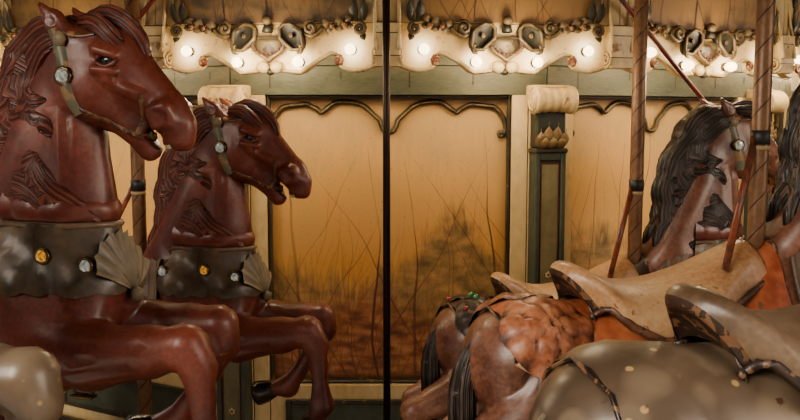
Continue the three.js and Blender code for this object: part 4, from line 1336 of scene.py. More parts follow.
# The fixed centre: a twelve-sided drum with painted panels between corner pilasters
SIDES = 12
FACE_HALF, WALL_FACE, WALL_BACK = 0.625, 2.3325, 2.2728
DECK, DRUM_TOP = 0.320, 2.860
PANEL_HALF, PANEL_LOW, PANEL_HIGH = 0.486, 0.817, 1.992
CORNER = 2.4148  # radius of the drum's corners
FACES = [30 * k for k in range(SIDES)]
CORNERS = [15 + 30 * k for k in range(SIDES)]
CUSPS = [(0, 1.843), (0.020, 1.850), (0.031, 1.869), (0.038, 1.892), (0.061, 1.915), (0.101, 1.949),
         (0.154, 1.965),
         (0.208, 1.963), (0.241, 1.945), (0.271, 1.923), (0.290, 1.938), (0.320, 1.953), (0.3475, 1.956),
         (0.400, 1.950), (0.431, 1.939), (0.460, 1.902), (0.470, 1.855), (0.458, 1.835)]


PLANK_GAP, PLANK_BEVEL = 0.0015, 0.002
CUSP_BEND = 0.16
HALF_SIDE = math.radians(15)  # half the turn from one side of the drum to the next


def planks(low, high, count, back, front, material):
    """Upright boards side by side between two corners given as x, z."""
    edges = np.linspace(low[0], high[0], count + 1)
    return [block((a + PLANK_GAP, -front, low[1]), (b - PLANK_GAP, -back, high[1]), material, PLANK_BEVEL)
            for a, b in zip(edges, edges[1:])]


def frame_bars(half, low, high, thick, back, front, material, bevel=0.003):
    """Four mitred bars round an opening."""
    shapes = []
    for x in (-half - thick, half):
        shapes.append(block((x, -front, low - thick), (x + thick, -back, high + thick), material, bevel))
    for z in (low - thick, high):
        shapes.append(block((-half, -front + 0.0004, z), (half, -back, z + thick), material, bevel))
    return shapes


def drum_face():
    shapes = []
    for side in (-1, 1):
        edges = sorted((side * PANEL_HALF, side * (FACE_HALF - 0.006)))
        shapes += planks((edges[0], DECK), (edges[1], PANEL_HIGH), 2, WALL_BACK, WALL_FACE, "cream_paint")
    shapes += planks((-PANEL_HALF, DECK), (PANEL_HALF, PANEL_LOW), 1, WALL_BACK, WALL_FACE, "cream_paint")
    for low, high in ((PANEL_HIGH, 2.105), (2.107, 2.36), (2.362, 2.61), (2.612, DRUM_TOP)):
        shapes.append(block((-FACE_HALF + 0.004, -WALL_FACE, low), (FACE_HALF - 0.004, -WALL_BACK, high),
                            "grey_green_paint", 0.002))
    shapes += frame_bars(PANEL_HALF - 0.013, PANEL_LOW + 0.013, PANEL_HIGH - 0.013, 0.013, WALL_BACK - 0.003,
                         WALL_FACE - 0.018, "dark_trim", 0.004)
    shapes += frame_bars(0.400, 0.585, 0.735, 0.022, WALL_FACE, WALL_FACE + 0.009, "dark_trim", 0.006)
    shapes.append(block((-0.400, -WALL_FACE - 0.003, 0.585), (0.400, -WALL_FACE, 0.735), "green_paint",
                        0.001))
    for x in (-0.47, -0.19, 0.08, 0.33, 0.52):
        shapes.append(block((x, -WALL_FACE - 0.0012, 2.035 - 0.02 * math.sin(9 * x)),
                            (x + 0.005, -WALL_FACE, 2.085),
                            "dark_trim", 0.0005))
    shapes.append(block((-0.645, -2.3585, DECK), (0.645, -WALL_FACE, 0.492), "green_paint", 0.003))
    shapes.append(tube([(-0.645, -2.350, 0.502), (0.645, -2.350, 0.502)], [0.014], 6, "dark_trim",
                       up=(0, 0, 1)))
    shapes.append(tube([(-0.645, -2.352, 0.335), (0.645, -2.352, 0.335)], [0.010], 6, "dark_trim",
                       up=(0, 0, 1)))
    return shapes


def panel():
    """One painted field with a cusped moulding across its head, on a crowned board."""
    x = np.linspace(-0.52, 0.52, 7)
    z = np.linspace(PANEL_LOW - 0.03, PANEL_HIGH + 0.03, 7)
    grid = np.stack(np.meshgrid(x, z), -1)
    swell = 0.004 * np.cos(grid[..., 0] * 3) * np.sin((grid[..., 1] - PANEL_LOW) * 2.6)
    points = np.stack([grid[..., 0], -WALL_BACK + 0.0045 - swell, grid[..., 1]], -1)
    back = points + [0, 0.012, 0]
    shapes = [net(points, "painted_scene"), net(back, "timber")]
    line = fine_path(CUSPS, 60)
    half = in_front(line, -WALL_BACK - 0.005)
    whole = np.vstack([half[::-1] * [-1, 1, 1], half[1:]])
    shapes.append(tube(whole, [0.0105], 5, "cusp_moulding", bend=CUSP_BEND))
    shapes.append(tube(whole - [0, 0.008, 0], [0.0045], 3, "cusp_light", bend=CUSP_BEND))
    for side in (-1, 1):
        curl = in_front(spiral((side * 0.450, 1.840), 0.014, 1.0, 0 if side > 0 else 180, 14, 0.2, -side),
                        -WALL_BACK - 0.007)
        shapes.append(tube(curl, [0.006, 0.009], 5, "cusp_moulding"))
    return shapes


def leaf(base, tip, width, material, lift=0.02, curl=0.02, lobes=4, columns=5, rows=7):
    """A carved acanthus leaf from base to tip, x, z points. It stands out towards -Y and its tip curls."""
    base, tip = np.array(base, float), np.array(tip, float)
    along = tip - base
    across = np.array([-along[1], along[0]]) / np.linalg.norm(along)
    t = np.linspace(0, 1, rows)[:, None]
    s = np.linspace(-1, 1, columns)[None]
    outline = np.sin(np.clip(t * 1.12 + 0.10, 0, 1) * math.pi) ** 0.7
    half = width * (outline * (0.82 + 0.18 * np.abs(np.cos(t * lobes * math.pi))))
    flat = base + along * t[..., None] + across * (s * half)[..., None]
    veins = 0.35 * width * (1 - np.abs(s)) ** 0.5 - 0.16 * width * np.abs(np.sin(s * 2.5 * math.pi + t * 2))
    y = -(veins + lift * np.sin(t * math.pi * 0.9) + curl * t ** 3)
    points = np.stack([flat[..., 0], y + 0 * flat[..., 0], flat[..., 1]], -1)
    return net(points, material)


def small_leaf(base, tip, width, material, lift=0.018, curl=0.014):
    """A leaf of three lobes with fewer points."""
    return leaf(base, tip, width, material, lift, curl, 3, 5, 6)


def pilaster():
    """A corner post with a sunk field, a leafy neck and a rolled capital, its back at the drum's corner."""
    front = CORNER + 0.050
    shapes = [block((-0.064, -front + 0.012, DECK), (0.064, -CORNER + 0.035, 1.776), "green_paint", 0.003)]
    for x in (-0.0645, 0.0435):
        shapes.append(block((x, -front, 0.53), (x + 0.021, -front + 0.014, 1.776), "green_paint", 0.004))
    for low, high in ((0.53, 0.575), (1.735, 1.776)):
        shapes.append(block((-0.0435, -front + 0.0004, low), (0.0435, -front + 0.014, high), "green_paint",
                            0.004))
    shapes.append(block((-0.036, -front + 0.0095, 0.590), (0.036, -front + 0.013, 1.722), "olive_paint",
                        0.001))
    shapes += [placed(s, (0, -front + 0.0125, 0)) for s in
               frame_bars(0.0345, 0.592, 1.720, 0.006, 0.0, 0.005, "red_line", 0.0015)]
    for z in (1.28, 0.72):
        shapes += rosette(np.array([0.0, -front + 0.008, z]), 0.015, 6, "cream_paint", "gilt_carving")
    for low, high, reach in ((DECK, 0.50, 0.004), (0.50, 0.53, 0.001)):
        shapes.append(block((-0.068 - reach, -front - reach, low), (0.068 + reach, -CORNER + 0.03, high),
                            "green_paint", 0.006))
    shapes.append(block((-0.070, -front - 0.006, 1.764), (0.070, -CORNER + 0.02, 1.784), "dark_trim", 0.005))
    shapes.append(block((-0.062, -front + 0.004, 1.784), (0.062, -CORNER + 0.02, 1.975), "neck_paint", 0.006))
    foot = 1.786
    for x, width, tall in ((-0.048, 0.0255, 0.075), (-0.018, 0.027, 0.100), (0.018, 0.027, 0.100),
                           (0.048, 0.0255, 0.075)):
        tall_leaf = leaf((x * 0.9, foot), (x * 1.12, foot + tall), width, "capital_leaf", 0.016, 0.022)
        shapes.append(placed(tall_leaf, (0, -front + 0.008, 0)))
    for x in (-0.034, 0.0, 0.034):
        short_leaf = leaf((x, foot), (x * 1.05, foot + 0.048), 0.022, "capital_leaf", 0.020, 0.018)
        shapes.append(placed(short_leaf, (0, -front + 0.002, 0)))
    shapes += capital_roll()
    return shapes


def capital_roll():
    """The roll over a pilaster: a waisted bolster with grooves, and a spiral on each end."""
    place = np.linspace(-1, 1, 21)
    radius = 0.048 + 0.010 * np.abs(place) ** 3 - 0.005 * (np.cos(place * 5 * math.pi) < -0.8)
    path = np.stack([place * 0.084, np.full(21, -CORNER - 0.056), np.full(21, 1.971)], -1)
    shapes = [tube(path, radius, 22, "cream_carving", up=(0, 0, 1))]
    for side in (-1, 1):
        line = spiral((-CORNER - 0.056, 1.971), 0.050, 2.2, 90, 44, 0.10, side)
        curl = np.stack([np.full(44, side * 0.0835), line[:, 0], line[:, 1]], -1)
        shapes.append(tube(curl, [0.0045], 4, "cream_carving", up=(1, 0, 0)))
    shapes.append(block((-0.080, -CORNER - 0.050, 1.985), (0.080, -CORNER + 0.03, 2.0295), "cream_carving",
                        0.006))
    return shapes


# The cornice over the drum: twenty boards with a waved edge, carved frames, consoles and lamps
BOARDS = [9 + 18 * k for k in range(20)]
JOINTS = [18 * k for k in range(20)]
BOARD_FACE, BOARD_BACK, BOARD_HALF = 2.677, 2.649, 0.4235
FIELD_FACE, FIELD_BACK, FIELD_HALF = 2.690, 2.658, 0.4255
WAVE = [(0.0, 2.078), (0.030, 2.074), (0.060, 2.064), (0.096, 2.0585), (0.130, 2.066), (0.165, 2.094),
        (0.200, 2.120),
        (0.226, 2.128), (0.246, 2.121), (0.2475, 2.094), (0.265, 2.076), (0.300, 2.067), (0.335, 2.067),
        (0.375, 2.082), (0.402, 2.092), (BOARD_HALF, 2.094)]


def wave_board():
    """One waved board, its lit face, the rolled edge under it and the knobs at its middle."""
    first, second = fine_path(WAVE[:9], 15), fine_path(WAVE[9:], 8)
    low = np.vstack([first, second])
    left = low[::-1] * [-1, 1]
    outline = np.vstack([left, low[1:], [(BOARD_HALF, 2.2345), (-BOARD_HALF, 2.2345)]])
    shapes = [slab(outline, -BOARD_BACK, -BOARD_FACE, "cream_paint", 0.005), lit_face(low)]
    for line in (first, second):
        path = in_front(line, -BOARD_FACE + 0.002)
        edge = tube(path + [0, 0, 0.006], [0.0075, 0.0095, 0.0075], 6, "cream_carving")
        shapes += both_halves([edge])
    curl = in_front(spiral((0.250, 2.106), 0.0165, 1.3, 110, 20, 0.15, -1), -BOARD_FACE - 0.004)
    shapes += both_halves([tube(curl, [0.008, 0.0095, 0.0075], 6, "rose_carving"),
                           ball((0.250, -BOARD_FACE - 0.008, 2.106), 0.008, "rose_carving", 6)])
    for side in (-1, 1):
        shapes.append(ball((side * 0.024, -BOARD_FACE - 0.006, 2.084), 1, "cream_carving", 8,
                           (0.027, 0.020, 0.024)))
        frond = leaf((side * 0.040, 2.100), (side * 0.052, 2.070), 0.010, "cream_carving", 0.006, 0.006, 2)
        shapes.append(placed(frond, (0, -BOARD_FACE, 0)))
    shapes.append(ball((0, -BOARD_FACE - 0.004, 2.066), 1, "dark_carving", 8, (0.016, 0.014, 0.012)))
    return shapes


LAMPS = [(-0.300, 2.142), (-0.112, 2.100), (0.112, 2.100), (0.300, 2.142)]


def lit_face(low):
    """The painted face of a waved board, marked with how near each point is to a bulb, for its painted glow."""
    x = np.linspace(-0.410, 0.410, 41)
    order = np.argsort(low[:, 0])
    edge = np.interp(np.abs(x), low[order, 0], low[order, 1]) + 0.010
    share = np.linspace(0, 1, 6)[:, None]
    z = edge + (2.2335 - edge) * share
    near = sum(np.exp(-((x - a) ** 2 + (z - b) ** 2) / 0.058 ** 2) for a, b in LAMPS)
    points = np.stack(np.broadcast_arrays(x, -BOARD_FACE - 0.0012, z), -1)
    # the nearness to the bulbs sets the board's painted glow
    return net(points, "lamp_board", dirt=np.clip(near, 0, 1))


def ear_scroll():
    """One of the two ear-like bowls of the cartouche, right half."""
    t = np.linspace(0, 1, 23)
    angle = 2 * math.pi * t + 0.8
    pull = 1 + 0.30 * np.clip(np.cos(angle + math.radians(58)), 0, 1) ** 3
    x = 0.086 + 0.047 * pull * np.cos(angle)
    z = 2.192 + 0.043 * pull * np.sin(angle) - 0.012 * np.cos(angle)
    edge = np.stack([x, z], -1)
    middle = np.array([0.086, 2.194])
    rows = [in_front((edge - middle) * share + middle, y)
            for share, y in ((1.02, -0.004), (1.0, -0.022), (0.80, -0.018), (0.45, -0.010), (0.05, -0.012))]
    bowl = net(np.stack(rows)[:, :-1], "olive_carving", around=True)
    rim = in_front((edge - middle) * 0.94 + middle, -0.025)
    drip = in_front(fine_path([(0.118, 2.162), (0.126, 2.146), (0.120, 2.132), (0.106, 2.130)], 16), -0.024)
    eye = in_front(spiral((0.088, 2.192), 0.006, 1.5, 40, 16, 0.3, 1), -0.020)
    return [bowl, tube(rim, [0.0065, 0.0080, 0.0065], 6, "gilt_carving"),
            tube(eye, [0.005], 5, "gilt_carving"),
            tube(drip, [0.008, 0.009, 0.006, 0.003], 5, "gilt_carving")]


def cartouche():
    """The carved ornament in the middle of a board: a knob, two ear scrolls and a shield."""
    shapes = both_halves(ear_scroll())
    shapes.append(ball((0, -0.026, 2.246), 1, "gilt_carving", 8, (0.020, 0.017, 0.018)))
    shapes.append(tube([(0, -0.016, 2.236), (0, -0.020, 2.205)], [0.012, 0.015, 0.021], 6, "dark_carving"))
    t = np.radians(np.linspace(-205, 25, 17))
    point = 0.016 * np.exp(-((t + math.pi / 2) / 0.22) ** 2)
    edge = np.stack([0.066 * np.cos(t), 2.166 + 0.052 * np.sin(t) - point], -1)
    middle = [0, 2.170]
    rows = []
    for share, y in ((1.0, -0.004), (0.98, -0.020), (0.86, -0.024), (0.74, -0.012), (0.40, -0.022),
                     (0.02, -0.026)):
        rows.append(in_front((edge - middle) * share + middle, y))
    shapes.append(net(np.stack(rows)[:4], "gilt_carving", around=True))
    shapes.append(net(np.stack(rows)[3:], "shield_paint", around=True))
    for k in range(9):
        a = math.radians(-160 + 17.5 * k)
        shapes.append(ball((0.053 * math.cos(a), -0.026, 2.170 + 0.043 * math.sin(a)), 0.0048, "red_line", 6))
    return shapes


def carved_side():
    """The right half of the carved frame beside the cartouche."""
    shapes = []
    volute = in_front(spiral((0.158, 2.219), 0.026, 1.35, 60, 30, 0.16, 1), -0.020)
    shapes.append(tube(volute, [0.006, 0.010, 0.0085], 6, "gilt_carving"))
    shapes.append(ball((0.158, -0.020, 2.219), 0.0085, "dark_carving", 6))
    stem = in_front(fine_path([(0.120, 2.214), (0.148, 2.190), (0.178, 2.196), (0.200, 2.218)], 18), -0.014)
    shapes.append(tube(stem, [0.007, 0.011, 0.006], 5, "gilt_carving"))
    for base, tip, width in (((0.190, 2.226), (0.236, 2.240), 0.016), ((0.205, 2.220), (0.246, 2.206), 0.014),
                             ((0.236, 2.232), (0.282, 2.246), 0.017), ((0.240, 2.224), (0.284, 2.206), 0.014),
                             ((0.270, 2.236), (0.312, 2.256), 0.016),
                             ((0.278, 2.226), (0.318, 2.222), 0.014)):
        shapes.append(small_leaf(base, tip, width, "gilt_carving"))
    for x, z, r in ((0.236, 2.222, 0.010), (0.282, 2.226, 0.011)):
        shapes.append(ball((x, -0.022, z), r, "rose_carving", 6))
    knob = in_front(spiral((0.334, 2.213), 0.023, 1.5, 120, 30, 0.15, -1), -0.024)
    shapes.append(tube(knob, [0.006, 0.010, 0.008], 6, "gilt_carving"))
    shapes.append(leaf((0.336, 2.206), (0.352, 2.164), 0.013, "olive_carving", 0.014, 0.004, 2, 5, 6))
    for base, tip, width, kind in (((0.318, 2.238), (0.306, 2.330), 0.018, "olive_carving"),
                                   ((0.330, 2.240), (0.330, 2.372), 0.020, "gilt_carving"),
                                   ((0.342, 2.242), (0.354, 2.330), 0.016, "olive_carving"),
                                   ((0.326, 2.330), (0.312, 2.440), 0.018, "gilt_carving"),
                                   ((0.338, 2.350), (0.350, 2.450), 0.016, "olive_carving")):
        shapes.append(small_leaf(base, tip, width, kind, 0.020, 0.018))
    return shapes


def side_frame():
    """Above the eye: stems, leaves and volutes that close the painted field, right half."""
    shapes = []
    stem = in_front(fine_path([(0.338, 2.430), (0.352, 2.520), (0.330, 2.620), (0.346, 2.720), (0.320, 2.810),
                               (0.250, 2.870), (0.160, 2.890), (0.080, 2.925), (0.0, 2.930)], 70), -0.012)
    shapes.append(tube(stem, [0.010, 0.013, 0.012, 0.010], 5, "gilt_carving"))
    for base, tip, width in (((0.345, 2.480), (0.316, 2.560), 0.018), ((0.345, 2.540), (0.376, 2.610), 0.018),
                             ((0.334, 2.630), (0.300, 2.700), 0.018), ((0.338, 2.680), (0.376, 2.745), 0.018),
                             ((0.318, 2.800), (0.262, 2.812), 0.020), ((0.250, 2.868), (0.196, 2.838), 0.020),
                             ((0.170, 2.888), (0.120, 2.862), 0.018),
                             ((0.300, 2.830), (0.352, 2.856), 0.020)):
        shapes.append(small_leaf(base, tip, width, "gilt_carving"))
    curl = in_front(spiral((0.052, 2.905), 0.030, 1.4, 150, 26, 0.15, -1), -0.018)
    shapes.append(tube(curl, [0.007, 0.011, 0.008], 5, "gilt_carving"))
    return shapes


def field_board():
    """The upright board: cream margins, a painted field and a crested top edge."""
    x = np.linspace(-FIELD_HALF, FIELD_HALF, 15)
    crest = 2.960 + 0.106 * np.cos(x / FIELD_HALF * math.pi / 2)
    outline = [(a, b) for a, b in zip(x, crest)] + [(FIELD_HALF, 2.2357), (-FIELD_HALF, 2.2357)]
    shapes = [slab(outline, -FIELD_BACK, -FIELD_FACE, "cream_paint", 0.004)]
    top = in_front(np.stack([x, crest - 0.012], -1), -FIELD_FACE + 0.001)
    shapes.append(tube(top, [0.011], 5, "gilt_carving"))
    u, v = np.meshgrid(np.linspace(-1, 1, 9), np.linspace(0, 1, 5))
    high = 2.885 + 0.045 * np.cos(u * math.pi / 2)
    points = np.stack([u * 0.335, -FIELD_FACE - 0.0025 - 0.002 * (1 - u ** 2), 2.2400 + (high - 2.240) * v],
                      -1)
    shapes.append(net(points, "field_scene"))
    return shapes


def console():
    """A bracket over a joint: a flat front strip, and flanks that end in a spiral disc."""
    front = 2.7105 + 0.043
    shapes = [slab([(-0.047, 2.082), (0.047, 2.082), (0.047, 2.232), (-0.047, 2.232)], -2.672, -front + 0.006,
                   "cream_carving", 0.004)]
    for z in (2.118, 2.196):
        shapes.append(block((-0.0475, -front + 0.0045, z), (0.0475, -front + 0.008, z + 0.003), "dark_trim",
                            0.001))
    rise = [(2.6905, 2.40), (2.716, 2.34), (2.730, 2.26), (front - 0.010, 2.20), (front - 0.002, 2.14)]
    for side in (-1, 1):
        line = fine_path(rise, 22)
        path = np.stack([np.full(22, side * 0.042), -line[:, 0], line[:, 1]], -1)
        shapes.append(tube(path, [0.005, 0.007, 0.009], 5, "cream_carving", up=(1, 0, 0)))
        disc = spiral((-front + 0.036, 2.114), 0.034, 2.0, 180, 40, 0.1, 1)
        curl = np.stack([np.full(40, side * 0.0495), disc[:, 0], disc[:, 1]], -1)
        shapes.append(tube(curl, [0.0055, 0.0048], 5, "cream_carving", up=(1, 0, 0)))
        shapes.append(ball((side * 0.049, -front + 0.036, 2.114), 0.009, "rose_carving", 6))
    return shapes


def lamp(x, z, face, radius=0.021):
    """A bulb in a short socket."""
    socket = [(0.018, 0.0), (0.018, 0.008), (0.013, 0.016)]
    glass = [(0.012, 0.014), (radius * 0.90, 0.030), (radius, 0.042), (radius * 0.70, 0.057),
             (radius * 0.05, 0.062)]
    shapes = [lathe(socket, 8, "bezel"), lathe(glass, 9, "lamp_glass")]
    return [placed(facing(s), (x, -face, z)) for s in shapes]


def lamps(face):
    return [s for x, z in LAMPS for s in lamp(x, z, face, 0.020)]


# Platform, hangers, rounding boards, tilt and finial
RIM_HALF, RIM_FACE, RIM_BACK = 0.3736, 4.7500, 4.7210
RIMS = [9 * k + 4.5 for k in range(40)]
INNER_RING, OUTER_RING = 2.900, 4.620  # radii of the hangers
HANGERS = [36 * k for k in range(10)]
BETWEEN_HANGERS = [18 + 36 * k for k in range(10)]
TIE_LOW, TIE_HIGH = 3.1858, 3.1996  # of the flat ring that ties the outer hangers' heads
BRACE_HEAD, BRACE_FOOT = 3.1877, 1.426


def rim_board():
    """One of forty edge boards, with a bead above and below and a leafy boss."""
    shapes = [block((-RIM_HALF + 0.001, -RIM_FACE + 0.004, 0.1305), (RIM_HALF - 0.001, -RIM_BACK, 0.3275),
                    "green_paint", 0.003)]
    for z, r in ((0.316, 0.0095), (0.142, 0.0095)):
        shapes.append(tube([(-RIM_HALF, -RIM_FACE + 0.0105, z), (RIM_HALF, -RIM_FACE + 0.0105, z)], [r], 10,
                           "gilt_carving", up=(0, 0, 1)))
    for side in (-1, 1):
        shapes.append(placed(leaf((side * 0.045, 0.229), (side * 0.210, 0.229), 0.034, "gilt_carving", 0.004,
                                  0.0, 4),
                             (0, -RIM_FACE + 0.012, 0)))
    shapes.append(ball((0, -RIM_FACE + 0.010, 0.229), 1, "gilt_carving", 8, (0.030, 0.010, 0.030)))
    return [squeezed(s) for s in shapes]


def squeezed(s):
    """The shape held back behind the rim's face."""
    co = s["co"].copy()
    co[:, 1] = np.maximum(co[:, 1], -RIM_FACE)
    return dict(s, co=co)


def hanger_rod(radius, low, high, thick, material):
    """A steel rod with a foot plate, bolts and turned collars."""
    shapes = [tube([(0, -radius, z) for z in np.linspace(low, high, 12)], [thick], 8, material)]
    for z, r in ((low + 0.020, 0.024), (low + 0.040, 0.019), (high - 0.020, 0.022), (high - 0.045, 0.018)):
        ring = lathe([(thick, -0.010), (r, -0.006), (r, 0.006), (thick, 0.010)], 16, material)
        shapes.append(placed(ring, (0, -radius, z)))
    shapes.append(block((-0.050, -radius - 0.050, low), (0.050, -radius + 0.050, low + 0.012), material,
                        0.003))
    for x in (-0.034, 0.034):
        for y in (-0.034, 0.034):
            bolt = lathe([(0.009, 0.0), (0.009, 0.007), (0.006, 0.010)], 4, "bezel", smooth=False)
            shapes.append(placed(bolt, (x, -radius + y, low + 0.012)))
    return shapes


def at(azimuth, radius, z):
    return (radius * math.sin(math.radians(azimuth)), -radius * math.cos(math.radians(azimuth)), z)


def inner_hangers():
    """Ten rods round the drum and the red braces that slope from one to the next."""
    shapes = round_all(hanger_rod(INNER_RING, 0.3203, 3.1995, 0.0125, "dark_steel"), HANGERS)
    for k, azimuth in enumerate(HANGERS):
        start, end = (BRACE_FOOT, BRACE_HEAD) if k % 2 else (BRACE_HEAD, BRACE_FOOT)
        path = np.linspace(at(azimuth, INNER_RING, start), at(azimuth + 36, INNER_RING, end), 12)
        shapes.append(tube(path, [0.0088], 7, "red_rod", up=(0, 0, 1)))
        for point in (path[0], path[-1]):
            shapes.append(ball(point, 0.019, "red_rod", 8))
    return shapes


def outer_hangers():
    """Ten rods near the edge, tied at their heads by a flat ring of twenty bars."""
    shapes = round_all(hanger_rod(OUTER_RING, 0.3203, 3.186, 0.0145, "dark_steel"), BETWEEN_HANGERS)
    half = OUTER_RING * math.tan(math.radians(9))
    bar = block((-half, -OUTER_RING + 0.033, TIE_LOW), (half, -OUTER_RING + 0.081, TIE_HIGH), "dark_steel",
                0.002)
    return shapes + round_all([bar], BOARDS)


# The boards round the outside, hung below the tilt
ROUND_FACE, ROUND_BACK, ROUND_HALF = 4.7310, 4.6960, 0.7490
ROUND_SCALE = 1.55


def enlarged(s, lift):
    """A cornice carving made larger for the outer boards: moved to their face and heights."""
    co = s["co"].copy()
    co = (co - [0, 0, 2.150]) * ROUND_SCALE + [0, 0, lift]
    return dict(s, co=co)


def rounding_board():
    """One outer board: a waved lower edge, mouldings, a painted field and carving."""
    x = np.linspace(-ROUND_HALF, ROUND_HALF, 37)
    t = np.abs(x) / ROUND_HALF
    scallops = 0.026 * (0.5 - 0.5 * np.cos(t * 6 * math.pi)) * (t < 0.999)
    low = 2.790 - 0.108 * np.cos(t * math.pi / 2) + scallops
    outline = [(a, b) for a, b in zip(x, low)] + [(ROUND_HALF, 3.528), (-ROUND_HALF, 3.528)]
    shapes = [slab(outline, -ROUND_BACK, -ROUND_FACE, "cream_paint", 0.004)]
    shapes.append(tube(in_front(np.stack([x, low + 0.012], -1), -ROUND_FACE - 0.002), [0.014], 5,
                       "cream_carving"))
    for z, r in ((3.505, 0.018), (3.470, 0.010)):
        shapes.append(tube([(-ROUND_HALF, -ROUND_FACE - 0.002, z), (ROUND_HALF, -ROUND_FACE - 0.002, z)],
                           [r], 10,
                           "gilt_carving", up=(0, 0, 1)))
    u, v = np.meshgrid(np.linspace(-1, 1, 9), np.linspace(0, 1, 5))
    bottom = 2.995 - 0.035 * np.cos(u * math.pi / 2)
    points = np.stack([u * 0.56, -ROUND_FACE - 0.003 - 0.003 * (1 - u ** 2), bottom + (3.430 - bottom) * v],
                      -1)
    shapes.append(net(points, "field_scene"))
    carving = cartouche() + both_halves(carved_side()[:11])
    carving = [placed(enlarged(s, 2.865), (0, -ROUND_FACE, 0)) for s in carving]
    stem = in_front(fine_path([(0.600, 2.930), (0.580, 3.040), (0.604, 3.150), (0.578, 3.260), (0.600, 3.370),
                               (0.560, 3.440), (0.460, 3.448)], 50), -ROUND_FACE - 0.014)
    carving += both_halves([tube(stem, [0.012, 0.017, 0.015, 0.010], 5, "gilt_carving")])
    for base, tip in (((0.59, 2.98), (0.64, 3.08)), ((0.60, 3.12), (0.54, 3.21)),
                      ((0.585, 3.24), (0.64, 3.33)),
                      ((0.57, 3.40), (0.48, 3.38))):
        frond = small_leaf(base, tip, 0.026, "gilt_carving", 0.020, 0.012)
        carving += both_halves([placed(frond, (0, -ROUND_FACE, 0))])
    return shapes + carving


def rounding_joint():
    """A half column with a boss over each joint of the outer boards."""
    corner = 4.790
    shapes = [block((-0.045, -corner - 0.012, 2.800), (0.045, -corner + 0.05, 3.520), "green_paint", 0.006)]
    shapes.append(tube([(0, -corner - 0.010, z) for z in np.linspace(2.86, 3.44, 9)], [0.020, 0.024, 0.020],
                       10,
                       "gilt_carving"))
    shapes.append(ball((0, -corner - 0.012, 3.482), 1, "gilt_carving", 8, (0.040, 0.022, 0.034)))
    shapes.append(ball((0, -corner - 0.012, 2.825), 1, "gilt_carving", 8, (0.034, 0.022, 0.034)))
    return shapes


def round_lamps():
    half = [(0.22, 2.745), (0.42, 2.815), (0.60, 2.865)]
    places = [(-x, z) for x, z in reversed(half)] + half
    return [s for x, z in places for s in lamp(x, z, ROUND_FACE, 0.024)]


TILT_RINGS, TILT_STEPS = 15, 160
TILT_CROWN, TILT_EAVES = (0.262, 4.7675), (4.866, 3.5640)  # radius and height of the canvas at its edges
TILT_SAG = 0.045


def tilt_surface():
    """The canvas: one sheet from the crown to the eaves that sags between its ten rafters."""
    share = np.linspace(0, 1, TILT_RINGS)[:, None]
    angle = np.linspace(0, 360, TILT_STEPS, endpoint=False)[None]
    between = (1 - np.cos(np.radians(angle * 10))) / 2
    edge = np.cos(np.radians(9)) / np.cos(np.radians((angle % 18) - 9))
    (inner, top), (outer, low) = TILT_CROWN, TILT_EAVES
    radius = (inner + (outer - inner) * share) * (edge * share + (1 - share))
    sag = TILT_SAG * between * np.sin(share * math.pi) ** 0.8
    ripple = 0.004 * np.sin(np.radians(angle * 60)) * share * (1 - share) * 2
    z = top - (top - low) * share - sag + ripple
    ways = np.radians(angle) + 0 * share
    return np.stack([radius * np.sin(ways), -radius * np.cos(ways), z + 0 * radius], -1)


def canvas():
    """The sheet with its underside, hemmed at the eaves and at the crown."""
    top = tilt_surface()
    made = net(top, "canvas", around=True)
    under = net(top[::-1] - [0, 0, 0.003], "canvas", around=True)
    rows = TILT_RINGS * TILT_STEPS
    co = np.vstack([made["co"], under["co"]])
    ring = np.arange(TILT_STEPS)
    after = np.roll(ring, -1)
    last = (TILT_RINGS - 1) * TILT_STEPS
    hem = np.stack([last + ring, last + after, rows + after, rows + ring], -1)
    crown = np.stack([ring, after, rows + last + after, rows + last + ring], -1)
    return shape(co, [made["faces"][0], under["faces"][0] + rows, hem, crown], "canvas")


FINIAL_FOOT = 4.7683
FINIAL_SIDE = [
    (0.318, 0.0), (0.318, 0.030), (0.300, 0.050), (0.262, 0.062), (0.240, 0.070), (0.200, 0.104),
    (0.150, 0.128), (0.120, 0.150), (0.094, 0.190), (0.088, 0.222), (0.104, 0.244), (0.104, 0.256),
    (0.120, 0.275), (0.152, 0.305), (0.166, 0.340), (0.160, 0.374), (0.146, 0.410), (0.120, 0.436),
    (0.092, 0.450), (0.070, 0.462), (0.054, 0.490), (0.048, 0.520), (0.040, 0.560), (0.036, 0.610),
    (0.030, 0.660), (0.024, 0.700), (0.012, 0.722), (0.001, 0.7305),
]


def finial_shapes():
    """A turned and gilded finial with a ring of leaves."""
    shapes = [placed(lathe(FINIAL_SIDE, 40, "gilt_metal"), (0, 0, FINIAL_FOOT))]
    for k in range(16):
        petal = leaf((0, FINIAL_FOOT + 0.250), (0, FINIAL_FOOT + 0.330), 0.026, "gilt_metal", 0.010, 0.020,
                     2, 5, 6)
        shapes.append(at_azimuth(placed(petal, (0, -0.128, 0)), 22.5 * k, 0, k))
    return shapes


